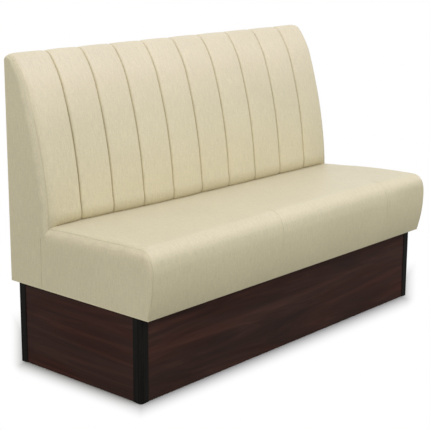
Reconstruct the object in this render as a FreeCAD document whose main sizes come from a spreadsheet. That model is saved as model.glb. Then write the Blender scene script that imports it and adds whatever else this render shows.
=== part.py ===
import FreeCAD, Part
import Sketcher
import math
import os
import re
from types import SimpleNamespace

# Restaurant booth bench: an upholstered seat box and a high channelled back on a boarded plinth.
# Millimetres. X runs along the bench, the front faces -Y and Z is up.
# The origin is on the floor, under the middle of the whole bench.

SIZES = (
    ("overall_length", 1522, "over the two upholstered ends"),
    ("overall_depth", 672, "front of the seat to the rear of the back"),
    ("overall_height", 1050, "floor to the top of the back"),
    ("plinth_height", 282, "floor to the underside of the upholstery"),
    ("plinth_end_setback", 3, "upholstered end to the face of the corner posts"),
    ("plinth_front_setback", 60, "foremost point of the seat to the face of the front posts"),
    ("plinth_rear_setback", 32, "rear of the back to the face of the rear posts"),
    ("board_thickness", 18, "laminated plinth boards and plywood ribs"),
    ("fit_gap", 0.1, "play of a board or plug in its slot"),
    ("foot_height", 2, "sole of the corner feet and thickness of the glides"),
    ("post_leg", 34, "width of each outer leg of a corner post"),
    ("post_wall", 2, "wall of the corner post section"),
    ("post_radius", 8, "outer corner of the post"),
    ("groove_width", 2, "shadow groove beside the rounded corner"),
    ("groove_depth", 0.8, "depth of that groove"),
    ("foot_plug_height", 16, "part of the foot inside the post"),
    ("cleat_side", 30, "square cleats along the top of the plinth"),
    ("cleat_end_gap", 2, "cleat end to the inner flange of a post"),
    ("cleat_lap_depth", 6, "how far the middle cleat reaches under the seat's rear rail"),
    ("glide_radius", 9, "nailed glides under the dividers"),
    ("glide_inset", 40, "glide centre to the end of its divider"),
    ("cover_thickness", 1.5, "upholstery cloth"),
    ("soft_gap", 0.3, "play between a soft piece and a curved seat"),
    ("hem_width", 26, "cloth turned under the seat box"),
    ("dust_cover_gap", 1, "dust cover to the edge of the hem"),
    ("seat_box_height", 230, "underside of the upholstery to the crown of the seat at its ends"),
    ("seat_fall", 26, "drop of the seat from its crown to its rear edge"),
    ("seat_crown", 3, "extra height at mid length"),
    ("seat_nose_radius", 55, "roll of the front top edge"),
    ("seat_draw_in", 24, "how far the front face leans back to its foot"),
    ("seat_end_radius", 30, "roll of the top edges at the two ends"),
    ("seat_corner_radius", 6, "upright corners of the front face"),
    ("unit_gap", 0.4, "between the seat box and the back"),
    ("rail_thickness", 22, "timber rails"),
    ("seat_rail_height", 110, "rails round the seat box"),
    ("cross_rail_height", 88, "rails across the seat box"),
    ("front_pad_foot", 10, "foam before the front rail at its foot"),
    ("end_pad_thickness", 6, "foam over the end rails"),
    ("block_leg", 60, "corner blocks of the seat box"),
    ("strap_width", 50, "elastic webbing"),
    ("strap_thickness", 2, "elastic webbing"),
    ("strap_end_gap", 76, "outermost strap to the end rail"),
    ("strap_inset", 5, "strap end to the face of its rail"),
    ("back_rear_radius", 10, "rear top edge of the back"),
    ("back_top_flat", 4, "level strip behind the roll"),
    ("back_roll_radius", 48, "tight end of the roll over the top"),
    ("back_shoulder_radius", 340, "start of the roll over the top"),
    ("back_sweep_radius", 1470, "long sweep of the back"),
    ("back_end_radius", 38, "roll of the back's edges into its ends"),
    ("end_panel_thickness", 11, "padded panel on each end of the back"),
    ("channel_depth", 12, "crest of a channel to the seam beside it"),
    ("channel_pad", 38, "foam and cloth of a channel"),
    ("channel_tuck", 40, "channel foot below the rear edge of the seat, before it is shaped to the seat"),
    ("skin_thickness", 5, "bent and flat plywood skins"),
    ("top_rail_height", 45, "shaped rail under the roll"),
    ("back_rail_height", 70, "straight rails of the back"),
    ("mid_rail_level", 720, "floor to the middle of the rear middle rail"),
    ("bolt_radius", 4, "bolts that join the seat box to the back"),
    ("bolt_hole_gap", 0.25, "play round a bolt or screw"),
    ("bolt_head_height", 5.3, "bolt head"),
    ("bolt_tail", 4, "thread beyond the nut"),
    ("nut_height", 6.5, "bolt nut"),
    ("nut_flats", 13, "across the flats of bolt head and nut"),
    ("washer_radius", 12, "under bolt head and nut"),
    ("washer_thickness", 1.6, "under bolt head and nut"),
    ("bolt_rise", 56, "plinth's top to the bolts"),
    ("bolt_end_inset", 191, "end of the bench to the outermost bolt"),
    ("screw_radius", 2.5, "screws up through the cleats"),
    ("screw_head_radius", 5, "screw head"),
    ("screw_head_height", 3.5, "screw head"),
    ("screw_bite", 30, "screw length above the plinth"),
)
SHOULDER_START = math.radians(20)
ROLL_START = math.radians(41)
ROLL_END = math.radians(90)
CHANNELS = 10
STRAPS = 10
DIVIDERS = 2
CROSS_RAILS = 3
BOLTS = 4
RIBS = 5
HEX_SIDES = 6
# Across a channel: where its sections lie, and how much of the seam depth each is inset.
CHANNEL_PLACE_SHARES = (0, 0.06, 0.16, 0.5, 0.84, 0.94, 1)
CHANNEL_INSET_SHARES = (1, 0.58, 0.2, 0, 0.2, 0.58, 1)
# Where sections lie on the roll into an end, on the last channel and on the end panel.
ROLL_PLACE_SHARES = (0, 0.4, 0.75, 1)
PANEL_PLACE_SHARES = (0, 0.45, 0.82, 1)
# How much of an inset is kept from the foot of the back, over the roll, to the rear edge.
FADE_SHARES = (0.7, 1, 1, 0.85, 0.7, 0.5, 0.4, 0.35)

doc = FreeCAD.newDocument("booth_bench")
sheet = doc.addObject("Spreadsheet::Sheet", "Sizes")
v = SimpleNamespace()
nodes = []


def add_size(alias, number, meaning):
    """Write a size in the sheet's next row and read it back."""
    row = len(vars(v)) + 1
    sheet.set("A%d" % row, alias)
    sheet.set("B%d" % row, str(number))
    sheet.set("C%d" % row, meaning)
    sheet.setAlias("B%d" % row, alias)
    doc.recompute()
    setattr(v, alias, float(sheet.get(alias)))


for alias, number, meaning in SIZES:
    add_size(alias, number, meaning)

# Three tangent arcs give the back's side profile. They start from the rear and the top.


def toward(turn):
    """From an arc's centre to its rim, where the surface leans back by the turn."""
    return FreeCAD.Vector(0, -math.cos(turn), math.sin(turn))


def turn_at(centre, radius, level):
    """How far the surface leans back where an arc reaches a level."""
    return math.asin((level - centre.z) / radius)


rear_face = v.overall_depth / 2
roll_centre = FreeCAD.Vector(0, rear_face - v.back_rear_radius - v.back_top_flat,
                             v.overall_height - v.back_roll_radius)
shoulder_centre = roll_centre + toward(ROLL_START) * (v.back_roll_radius - v.back_shoulder_radius)
sweep_centre = shoulder_centre + toward(SHOULDER_START) * (v.back_shoulder_radius - v.back_sweep_radius)

# The seat meets the back where the bent skin under the channels comes down to the back's seat rail.

add_size("seat_height", v.plinth_height + v.seat_box_height, "floor to the crown of the seat at its ends")
add_size("skin_foot", v.seat_height - v.seat_fall + v.back_rail_height / 2, "foot of the bent skin")
frame_depth = v.channel_pad + v.skin_thickness
skin_foot_turn = turn_at(sweep_centre, v.back_sweep_radius - frame_depth, v.skin_foot)
skin_foot_rear = sweep_centre + toward(skin_foot_turn) * (v.back_sweep_radius - frame_depth)
add_size("seat_depth", skin_foot_rear.y - v.unit_gap + v.overall_depth / 2,
         "foremost point to the rear face of the seat box")
add_size("bolt_level", v.plinth_height + v.bolt_rise, "floor to the bolts")


def bound(text):
    """The expression with each size read from the sheet."""
    return re.sub(r"[a-z][a-z0-9_]*", lambda word: "Sizes." + word.group() if word.group() in vars(v)
                  else word.group(), text)


def keep(piece, label):
    """Name a finished sub-part and list it for export."""
    piece.Label = label
    nodes.append(piece)
    return piece


def feature(label, shape):
    """A sub-part made with lofts, prisms or copies."""
    piece = doc.addObject("Part::Feature", label)
    piece.Shape = shape
    piece.Placement = FreeCAD.Placement()
    return keep(piece, label)


def box(name, low, high):
    """A block between two corners, each given as three expressions."""
    piece = doc.addObject("Part::Box", name)
    for side, axis, start, stop in zip(("Length", "Width", "Height"), "xyz", low, high):
        piece.setExpression(side, bound("(%s) - (%s)" % (stop, start)))
        piece.setExpression("Placement.Base." + axis, bound(start))
    return piece


def drill(name, radius, length, start, rearward=False):
    """A cylinder from a start of three expressions, upward or rearward."""
    tool = doc.addObject("Part::Cylinder", name)
    tool.setExpression("Radius", bound(radius))
    tool.setExpression("Height", bound(length))
    if rearward:
        tool.Placement.Rotation = FreeCAD.Rotation(FreeCAD.Vector(1, 0, 0), -90)
    for axis, place in zip("xyz", start):
        tool.setExpression("Placement.Base." + axis, bound(place))
    return tool


def cut_from(label, base, tools):
    """The base less each of the tools, kept as a sub-part."""
    for number, tool in enumerate(tools):
        cut = doc.addObject("Part::Cut", "%s_cut_%d" % (label, number))
        cut.Base = base
        cut.Tool = tool
        base = cut
    return keep(base, label)


def common_of(label, base, tool):
    """What the base and the tool share, kept as a sub-part."""
    common = doc.addObject("Part::Common", label)
    common.Base = base
    common.Tool = tool
    return keep(common, label)


def outline(body, name, role, corners):
    """A closed sketch of straight lines, each corner bound to two expressions."""
    sketch = body.newObject("Sketcher::SketchObject", name)
    plane = [plane for plane in body.Origin.OriginFeatures if plane.Role == role][0]
    sketch.AttachmentSupport = (plane, "")
    sketch.MapMode = "FlatFace"
    count = len(corners)
    turns = [2 * math.pi * i / count for i in range(count)]
    spots = [FreeCAD.Vector(math.cos(turn), math.sin(turn), 0) for turn in turns]
    for i in range(count):
        sketch.addGeometry(Part.LineSegment(spots[i], spots[(i + 1) % count]), False)
    for i in range(count):
        sketch.addConstraint(Sketcher.Constraint("Coincident", i, 2, (i + 1) % count, 1))
    for i, corner in enumerate(corners):
        for kind, text, start in zip(("DistanceX", "DistanceY"), corner, spots[i]):
            number = sketch.addConstraint(Sketcher.Constraint(kind, -1, 1, i, 1, start))
            sketch.setExpression("Constraints[%d]" % number, bound(text))
    return sketch


def body_of(label):
    """A PartDesign body that becomes a sub-part."""
    return keep(doc.addObject("PartDesign::Body", label), label)


def pad(body, sketch, name, height, midplane=False):
    """Raise a sketch by an expression and make it the body's tip."""
    raised = body.newObject("PartDesign::Pad", name)
    raised.Profile = sketch
    raised.Midplane = midplane
    raised.setExpression("Length", bound(height))
    body.Tip = raised
    doc.recompute()
    return raised


def rounded(body, base, name, x, y, radius):
    """Round the upright edge of the base at x, y, in the body's own frame, by an expression."""
    def stands_there(edge):
        return all(abs(end.X - x) + abs(end.Y - y) < v.fit_gap / 2 for end in edge.Vertexes)

    number = [i for i, edge in enumerate(base.Shape.Edges, start=1) if stands_there(edge)][0]
    fillet = body.newObject("PartDesign::Fillet", name)
    fillet.Base = (base, ["Edge%d" % number])
    fillet.setExpression("Radius", bound(radius))
    body.Tip = fillet
    doc.recompute()
    return fillet


def placed(body, x, y, z, turn=0):
    """Turn a body about Z and move it by three expressions."""
    body.Placement.Rotation = FreeCAD.Rotation(FreeCAD.Vector(0, 0, 1), turn)
    for axis, place in zip("xyz", (x, y, z)):
        body.setExpression("Placement.Base." + axis, bound(place))


# Places that several pieces share, as expressions.
POST_END = "(overall_length/2 - plinth_end_setback)"
POST_FRONT = "(plinth_front_setback - overall_depth/2)"
POST_REAR = "(overall_depth/2 - plinth_rear_setback)"
SLOT_FAR = "(post_wall + board_thickness + 2*fit_gap)"
POST_CORE = "(2*post_wall + board_thickness + 2*fit_gap)"
BOARD_FACE = "(post_wall + fit_gap)"
BOARD_BACK = "(post_wall + fit_gap + board_thickness)"
FRAME_BASE = "(plinth_height + cover_thickness)"
RAIL_END = "(overall_length/2 - cover_thickness - soft_gap - end_pad_thickness)"
RAIL_FRONT = "(seat_draw_in + cover_thickness + front_pad_foot - overall_depth/2)"
RAIL_REAR = "(seat_depth - overall_depth/2 - cover_thickness - soft_gap)"
RAIL_TOP = "(plinth_height + cover_thickness + seat_rail_height)"
STRAP_TOP = "(plinth_height + cover_thickness + seat_rail_height + strap_thickness)"
BACK_FRONT = "(seat_depth - overall_depth/2 + unit_gap)"
BACK_FRAME_REAR = "(overall_depth/2 - cover_thickness - skin_thickness)"
BACK_FRAME_END = "(overall_length/2 - end_panel_thickness - soft_gap)"
BACK_SKIN_TOP = "(overall_height - channel_pad)"


def neg(text):
    return "-(" + text + ")"


def even_shares(count):
    """Places that part the length from -1 to 1 into equal bays."""
    return [2 * (i + 1) / (count + 1) - 1 for i in range(count)]


# Plinth boards, held in the slots of four grooved corner posts on plug feet.

board_end = POST_END + " - " + POST_CORE + " - fit_gap"
for label, near, far in (
        ("plinth_front_board", POST_FRONT + " + " + BOARD_FACE, POST_FRONT + " + " + BOARD_BACK),
        ("plinth_rear_board", POST_REAR + " - " + BOARD_BACK, POST_REAR + " - " + BOARD_FACE)):
    keep(box(label, (neg(board_end), near, "foot_height"), (board_end, far, "plinth_height")), label)

board_ends = (POST_FRONT + " + " + POST_CORE + " + fit_gap", POST_REAR + " - " + POST_CORE + " - fit_gap")
for label, near, far in (
        ("plinth_left_board", neg(POST_END + " - " + BOARD_FACE), neg(POST_END + " - " + BOARD_BACK)),
        ("plinth_right_board", POST_END + " - " + BOARD_BACK, POST_END + " - " + BOARD_FACE)):
    keep(box(label, (near, board_ends[0], "foot_height"), (far, board_ends[1], "plinth_height")), label)

groove_near = "(post_radius + groove_width)"
groove_far = "(post_radius + 2*groove_width)"
POST_OUTLINE = (("0", "0"),
                (groove_near, "0"), (groove_near, "groove_depth"),
                (groove_far, "groove_depth"), (groove_far, "0"),
                ("post_leg", "0"), ("post_leg", "post_wall"), (POST_CORE, "post_wall"),
                (POST_CORE, SLOT_FAR), ("post_leg", SLOT_FAR), ("post_leg", POST_CORE),
                (POST_CORE, POST_CORE),
                (POST_CORE, "post_leg"), (SLOT_FAR, "post_leg"), (SLOT_FAR, POST_CORE),
                ("post_wall", POST_CORE), ("post_wall", "post_leg"), ("0", "post_leg"),
                ("0", groove_far), ("groove_depth", groove_far),
                ("groove_depth", groove_near), ("0", groove_near))


def square(near, far):
    """The corners of a square from near to far on both axes."""
    return ((near, near), (far, near), (far, far), (near, far))


def corner_post(corner, x, y, turn):
    post = body_of("corner_post_" + corner)
    section = outline(post, "post_section_" + corner, "XY_Plane", POST_OUTLINE)
    pad(post, section, "post_length_" + corner, "plinth_height - foot_height")
    bore = post.newObject("PartDesign::Pocket", "post_bore_" + corner)
    bore.Profile = outline(post, "bore_section_" + corner, "XY_Plane", square("post_wall", SLOT_FAR))
    bore.Type = "ThroughAll"
    bore.Midplane = True
    post.Tip = bore
    doc.recompute()
    solid = rounded(post, bore, "bore_round_" + corner, v.post_wall, v.post_wall, "post_radius - post_wall")
    rounded(post, solid, "post_round_" + corner, 0, 0, "post_radius")
    placed(post, x, y, "foot_height", turn)


def corner_foot(corner, x, y, turn):
    foot = doc.addObject("PartDesign::Body", "corner_foot_" + corner)
    section = outline(foot, "sole_section_" + corner, "XY_Plane", square("fit_gap", POST_CORE))
    pad(foot, section, "sole_" + corner, "foot_height")
    inside = square("post_wall + fit_gap", SLOT_FAR + " - fit_gap")
    section = outline(foot, "plug_section_" + corner, "XY_Plane", inside)
    plug = pad(foot, section, "plug_" + corner, "foot_height + foot_plug_height")
    start = v.post_wall + v.fit_gap
    solid = rounded(foot, plug, "plug_round_" + corner, start, start, "post_radius - post_wall - fit_gap")
    rounded(foot, solid, "sole_round_" + corner, v.fit_gap, v.fit_gap, "post_radius - fit_gap")
    placed(foot, x, y, "0", turn)
    return foot


feet = []
for corner, x, y, turn in (
        ("front_left", neg(POST_END), POST_FRONT, 0),
        ("front_right", POST_END, POST_FRONT, 90),
        ("rear_right", POST_END, POST_REAR, 180),
        ("rear_left", neg(POST_END), POST_REAR, 270)):
    corner_post(corner, x, y, turn)
    feet.append(corner_foot(corner, x, y, turn))
group = doc.addObject("Part::Compound", "corner_feet")
group.Links = feet
keep(group, "corner_feet")

# Cleats along the top of the plinth, drilled for the screws that hold the upholstered units.

rib_x = "(" + BACK_FRAME_END + " - board_thickness/2)"
between_rails = "(" + RAIL_END + " - rail_thickness)"
cross_rail_places = ["(%r)*%s" % (share, between_rails) for share in even_shares(CROSS_RAILS)]
inner_rib_places = ["(%r)*%s" % (share, rib_x) for share in even_shares(RIBS - 2)]
between_posts = POST_END + " - post_leg - cleat_end_gap"
between_boards = POST_END + " - " + BOARD_BACK
CLEATS = (
    ("front", POST_FRONT + " + " + BOARD_BACK, between_posts, cross_rail_places),
    ("middle", RAIL_REAR + " - rail_thickness + cleat_lap_depth - cleat_side", between_boards,
     cross_rail_places),
    ("rear", POST_REAR + " - " + BOARD_BACK + " - cleat_side", between_posts, inner_rib_places),
)
screw_axes = []
for row, face, end, places in CLEATS:
    block = box("cleat_block_" + row, (neg(end), face, "plinth_height - cleat_side"),
                (end, face + " + cleat_side", "plinth_height"))
    drills = []
    for number, x in enumerate(places):
        start = (x, face + " + cleat_side/2", "plinth_height - 2*cleat_side")
        name = "cleat_drill_%s_%d" % (row, number)
        drills.append(drill(name, "screw_radius + bolt_hole_gap", "3*cleat_side", start))
    cut_from("plinth_cleat_" + row, block, drills)
doc.recompute()
for row, face, end, places in CLEATS:
    for number in range(len(places)):
        screw_axes.append(doc.getObject("cleat_drill_%s_%d" % (row, number)).Placement.Base)

DIVIDER_OUTLINE = [(POST_FRONT + " + " + BOARD_BACK, "foot_height"),
                   (POST_REAR + " - " + BOARD_BACK, "foot_height"),
                   (POST_REAR + " - " + BOARD_BACK, "plinth_height - cleat_side"),
                   (CLEATS[2][1], "plinth_height - cleat_side"),
                   (CLEATS[2][1], "plinth_height"),
                   (CLEATS[1][1] + " + cleat_side", "plinth_height"),
                   (CLEATS[1][1] + " + cleat_side", "plinth_height - cleat_side"),
                   (CLEATS[1][1], "plinth_height - cleat_side"),
                   (CLEATS[1][1], "plinth_height"),
                   (CLEATS[0][1] + " + cleat_side", "plinth_height"),
                   (CLEATS[0][1] + " + cleat_side", "plinth_height - cleat_side"),
                   (CLEATS[0][1], "plinth_height - cleat_side")]
glides = []
for number, share in enumerate(even_shares(DIVIDERS), start=1):
    divider = body_of("plinth_divider_%d" % number)
    section = outline(divider, "divider_section_%d" % number, "YZ_Plane", DIVIDER_OUTLINE)
    pad(divider, section, "divider_board_%d" % number, "board_thickness", midplane=True)
    placed(divider, "(%r)*%s" % (share, POST_END), "0", "0")
    x = share * (v.overall_length / 2 - v.plinth_end_setback)
    front = v.plinth_front_setback - v.overall_depth / 2 + v.post_wall + v.fit_gap + v.board_thickness
    rear = v.overall_depth / 2 - v.plinth_rear_setback - v.post_wall - v.fit_gap - v.board_thickness
    for y in (front + v.glide_inset, rear - v.glide_inset):
        glides.append(Part.makeCylinder(v.glide_radius, v.foot_height, FreeCAD.Vector(x, y, 0)))
feature("divider_glides", Part.Compound(glides))


def screw(axis):
    """A pan head screw, head under its cleat, point up in the frame above."""
    under = v.plinth_height - v.cleat_side
    head = Part.makeCylinder(v.screw_head_radius, v.screw_head_height,
                             FreeCAD.Vector(axis.x, axis.y, under - v.screw_head_height))
    shank = Part.makeCylinder(v.screw_radius, v.screw_head_height / 2 + v.cleat_side + v.screw_bite,
                              FreeCAD.Vector(axis.x, axis.y, under - v.screw_head_height / 2))
    return head.fuse(shank).removeSplitter()


feature("unit_screws", Part.Compound([screw(axis) for axis in screw_axes]))

# Seat: the outer form, and the same form drawn in or out for what lies inside or against it.


def seat_section(x, inset, crown):
    """The seat's side profile at x as a wire: foot, front face, nose, seat and rear face."""
    front = inset - v.overall_depth / 2
    rear = v.seat_depth - v.overall_depth / 2 - inset
    base = v.plinth_height + inset
    top = v.seat_height + crown - inset
    nose = v.seat_nose_radius - inset
    nose_level = v.seat_height + crown - v.seat_nose_radius

    def point(y, z):
        return FreeCAD.Vector(x, y, z)

    drop = nose_level - base
    lean_radius = (drop ** 2 + v.seat_draw_in ** 2) / (2 * v.seat_draw_in)
    half_lean = math.asin(drop / lean_radius) / 2
    foot = point(front + v.seat_draw_in, base)
    belly = point(front + lean_radius * (1 - math.cos(half_lean)),
                  nose_level - lean_radius * math.sin(half_lean))
    nose_foot = point(front, nose_level)
    nose_middle = point(front + nose * (1 - math.cos(math.pi / 4)), nose_level + nose * math.sin(math.pi / 4))
    nose_top = point(front + nose, top)
    run = rear - front - nose
    seat_radius = (run ** 2 + v.seat_fall ** 2) / (2 * v.seat_fall)
    half_fall = math.asin(run / seat_radius) / 2
    middle = point(front + nose + seat_radius * math.sin(half_fall),
                   top - seat_radius * (1 - math.cos(half_fall)))
    rear_top = point(rear, top - v.seat_fall)
    rear_foot = point(rear, base)
    return Part.Wire([Part.LineSegment(rear_foot, foot).toShape(),
                      Part.Arc(foot, belly, nose_foot).toShape(),
                      Part.Arc(nose_foot, nose_middle, nose_top).toShape(),
                      Part.Arc(nose_top, middle, rear_top).toShape(),
                      Part.LineSegment(rear_top, rear_foot).toShape()])


def seat_form(name, inset):
    """The seat's crowned form with rolled ends, drawn in by the inset."""
    end = v.overall_length / 2 - inset
    sections = [seat_section(x, inset, crown) for x, crown in ((-end, 0), (0, v.seat_crown), (end, 0))]
    blank = doc.addObject("Part::Feature", name + "_blank")
    blank.Shape = Part.makeLoft(sections, True, False)
    nose_level = v.seat_height - v.seat_nose_radius
    top_roll = v.seat_end_radius - inset
    corner_roll = v.seat_corner_radius - inset
    edges = []
    for number, edge in enumerate(blank.Shape.Edges, start=1):
        first, last = edge.valueAt(edge.FirstParameter), edge.valueAt(edge.LastParameter)
        if abs(first.x - last.x) > v.fit_gap:
            continue
        high, low = max(first.z, last.z), min(first.z, last.z)
        if low > nose_level + v.fit_gap:
            edges.append((number, top_roll, top_roll))
        elif high > nose_level + v.fit_gap and low > nose_level - v.fit_gap:
            rising = first.z < last.z
            edges.append((number, corner_roll if rising else top_roll, top_roll if rising else corner_roll))
        elif abs(high - nose_level) < v.fit_gap and abs(first.y - last.y) > v.fit_gap:
            edges.append((number, corner_roll, corner_roll))
    form = doc.addObject("Part::Fillet", name)
    form.Base = blank
    form.Edges = edges
    return form


seat_outside = seat_form("seat_outside", 0)
seat_inside = seat_form("seat_inside", v.cover_thickness)
seat_stuffing = seat_form("seat_stuffing", v.cover_thickness + v.soft_gap)
seat_clear = seat_form("seat_clear", -v.soft_gap)
doc.recompute()

bolt_shares = [2 * i / (BOLTS - 1) - 1 for i in range(BOLTS)]


def bolt_drills(name, front, rear):
    """Holes for the bolts, from front to rear, two expressions."""
    radius = "bolt_radius + bolt_hole_gap"
    places = ["(%r)*(overall_length/2 - bolt_end_inset)" % share for share in bolt_shares]
    return [drill("%s_%d" % (name, i), radius, rear + " - " + front, (x, front, "bolt_level"), rearward=True)
            for i, x in enumerate(places)]


hem = box("seat_hem_opening",
          ("hem_width - overall_length/2", "seat_draw_in + hem_width - overall_depth/2", "0"),
          ("overall_length/2 - hem_width", "seat_depth - overall_depth/2 - hem_width", RAIL_TOP))
cover_drills = bolt_drills("cover_drill", "(" + RAIL_REAR + " - rail_thickness)", "(overall_depth/2)")
cut_from("seat_cover", seat_outside, [seat_inside, hem] + cover_drills)

dust_inset = "(hem_width + dust_cover_gap)"
dust_end = "overall_length/2 - " + dust_inset
dust_front = "seat_draw_in + " + dust_inset + " - overall_depth/2"
dust_rear = "seat_depth - overall_depth/2 - " + dust_inset
dust = box("dust_sheet", (neg(dust_end), dust_front, "plinth_height"), (dust_end, dust_rear, FRAME_BASE))


def screw_drills(name, rows):
    """Holes round the screws of some rows of cleats, from the plinth's top up."""
    tools = []
    for row, face, end, places in CLEATS:
        for number, x in enumerate(places):
            if row in rows:
                start = (x, face + " + cleat_side/2", "plinth_height - screw_bite")
                tools.append(drill("%s_%s_%d" % (name, row, number), "screw_radius + bolt_hole_gap",
                                   "2*screw_bite + bolt_hole_gap", start))
    return tools


cut_from("seat_dust_cover", dust, screw_drills("dust_drill", ("front", "middle")))

front_rail_rear = RAIL_FRONT + " + rail_thickness"
rear_rail_front = RAIL_REAR + " - rail_thickness"
front_rail = box("seat_front_rail", (neg(RAIL_END), RAIL_FRONT, FRAME_BASE),
                 (RAIL_END, front_rail_rear, RAIL_TOP))
keep(front_rail, "seat_front_rail")
rear_rail = box("rear_rail_blank", (neg(RAIL_END), rear_rail_front, FRAME_BASE),
                (RAIL_END, RAIL_REAR, RAIL_TOP))
cut_from("seat_rear_rail", rear_rail, bolt_drills("rear_rail_drill", "(" + rear_rail_front + ")", BACK_FRONT))
for label, near, far in (("seat_left_rail", neg(RAIL_END), neg(RAIL_END + " - rail_thickness")),
                         ("seat_right_rail", RAIL_END + " - rail_thickness", RAIL_END)):
    keep(box(label, (near, front_rail_rear, FRAME_BASE), (far, rear_rail_front, RAIL_TOP)), label)
for number, x in enumerate(cross_rail_places):
    blank = box("cross_rail_blank_%d" % number, (x + " - rail_thickness/2", front_rail_rear, FRAME_BASE),
                (x + " + rail_thickness/2", rear_rail_front, FRAME_BASE + " + cross_rail_height"))
    drills = [tool for tool in screw_drills("cross_drill_%d" % number, ("front", "middle"))
              if tool.Name.endswith("_%d" % number)]
    cut_from("seat_cross_rail_%d" % (number + 1), blank, drills)


def seat_rail_faces():
    """The inner faces of the seat box's rails as numbers: end, front and rear."""
    end = v.overall_length / 2 - v.cover_thickness - v.soft_gap - v.end_pad_thickness - v.rail_thickness
    front = v.seat_draw_in + v.cover_thickness + v.front_pad_foot - v.overall_depth / 2 + v.rail_thickness
    rear = v.seat_depth - v.overall_depth / 2 - v.cover_thickness - v.soft_gap - v.rail_thickness
    return end, front, rear


def corner_blocks():
    """Triangular blocks glued in the four corners of the seat box."""
    end, front, rear = seat_rail_faces()
    base = v.plinth_height + v.cover_thickness
    blocks = []
    for side in (-1, 1):
        for y, inward in ((front, 1), (rear, -1)):
            corners = [FreeCAD.Vector(side * end, y, base),
                       FreeCAD.Vector(side * (end - v.block_leg), y, base),
                       FreeCAD.Vector(side * end, y + inward * v.block_leg, base)]
            face = Part.Face(Part.makePolygon(corners + corners[:1]))
            blocks.append(face.extrude(FreeCAD.Vector(0, 0, v.cross_rail_height)))
    return Part.Compound(blocks)


def webbing():
    """Elastic straps from the front rail to the rear rail."""
    end, front, rear = seat_rail_faces()
    level = v.plinth_height + v.cover_thickness + v.seat_rail_height
    start = front - v.rail_thickness + v.strap_inset
    run = rear + v.rail_thickness - v.strap_inset - start
    straps = []
    outermost = end - v.strap_end_gap - v.strap_width / 2
    for i in range(STRAPS):
        x = outermost * (2 * i / (STRAPS - 1) - 1) - v.strap_width / 2
        straps.append(Part.makeBox(v.strap_width, run, v.strap_thickness, FreeCAD.Vector(x, start, level)))
    return Part.Compound(straps)


feature("seat_corner_blocks", corner_blocks())
feature("seat_webbing", webbing())

beyond = "overall_length"
common_of("seat_foam", seat_stuffing,
          box("foam_room", (neg(beyond), neg(beyond), STRAP_TOP), (beyond, beyond, "overall_height")))
common_of("seat_front_pad", seat_stuffing,
          box("front_pad_room", (neg(beyond), neg(beyond), FRAME_BASE), (beyond, RAIL_FRONT, STRAP_TOP)))
common_of("seat_left_pad", seat_stuffing,
          box("left_pad_room", (neg(beyond), RAIL_FRONT, FRAME_BASE), (neg(RAIL_END), beyond, STRAP_TOP)))
common_of("seat_right_pad", seat_stuffing,
          box("right_pad_room", (RAIL_END, RAIL_FRONT, FRAME_BASE), (beyond, beyond, STRAP_TOP)))

# Back: ten channels and two end panels over a skin on ribs and rails.

foot_level = v.seat_height - v.seat_fall - v.channel_tuck


def arc(centre, radius, start, stop, x, shares=(0, 0, 0), inset=0):
    """An arc of the profile at x. The inset is kept in a share at its start, middle and stop."""
    turns = (start, (start + stop) / 2, stop)
    points = [centre + toward(turn) * (radius - inset * share) + FreeCAD.Vector(x, 0, 0)
              for turn, share in zip(turns, shares)]
    return Part.Arc(*points).toShape()


def line_through(points):
    """Straight edges through points in order."""
    return [Part.LineSegment(a, b).toShape() for a, b in zip(points, points[1:])]


def face_edges(x, inset):
    """The visible profile at x: sweep, shoulder, roll, level strip and rear edge."""
    foot = turn_at(sweep_centre, v.back_sweep_radius, foot_level)
    arcs = ((sweep_centre, v.back_sweep_radius, foot, SHOULDER_START, x, FADE_SHARES[0:3], inset),
            (shoulder_centre, v.back_shoulder_radius, SHOULDER_START, ROLL_START, x, FADE_SHARES[2:5], inset),
            (roll_centre, v.back_roll_radius, ROLL_START, ROLL_END, x, FADE_SHARES[4:7], inset))
    edges = [arc(*drawn) for drawn in arcs]
    roll_top = edges[-1].valueAt(edges[-1].LastParameter)
    level = v.overall_height - inset * FADE_SHARES[7]
    radius = v.back_rear_radius
    strip_end = FreeCAD.Vector(x, rear_face - radius, level)
    bend = strip_end + FreeCAD.Vector(0, radius * math.sin(math.pi / 4), radius * (math.cos(math.pi / 4) - 1))
    rear_top = FreeCAD.Vector(x, rear_face, level - radius)
    edges.append(Part.LineSegment(roll_top, strip_end).toShape())
    edges.append(Part.Arc(strip_end, bend, rear_top).toShape())
    return edges, edges[0].valueAt(edges[0].FirstParameter), rear_top


def channel_section(x, inset):
    """A channel's closed section at x: visible profile outside, plywood skin and top rail inside."""
    edges, foot, rear_top = face_edges(x, inset)
    depth = v.channel_pad - v.soft_gap
    foot_turn = turn_at(sweep_centre, v.back_sweep_radius, foot_level)
    inner = [arc(roll_centre, v.back_roll_radius - depth, ROLL_END, ROLL_START, x),
             arc(shoulder_centre, v.back_shoulder_radius - depth, ROLL_START, SHOULDER_START, x),
             arc(sweep_centre, v.back_sweep_radius - depth, SHOULDER_START, foot_turn, x)]
    inner_top = FreeCAD.Vector(x, roll_centre.y, v.overall_height - depth)
    inner_foot = sweep_centre + toward(foot_turn) * (v.back_sweep_radius - depth) + FreeCAD.Vector(x, 0, 0)
    edges += line_through([rear_top, FreeCAD.Vector(x, rear_face, v.overall_height - depth), inner_top])
    edges += inner + line_through([inner_foot, foot])
    return Part.Wire(edges)


def end_roll_inset(x):
    """How far the roll into an end draws the profile in at x."""
    along = max(0, abs(x) - (v.overall_length / 2 - v.back_end_radius))
    return v.back_end_radius - math.sqrt(max(0, v.back_end_radius ** 2 - along ** 2))


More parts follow.
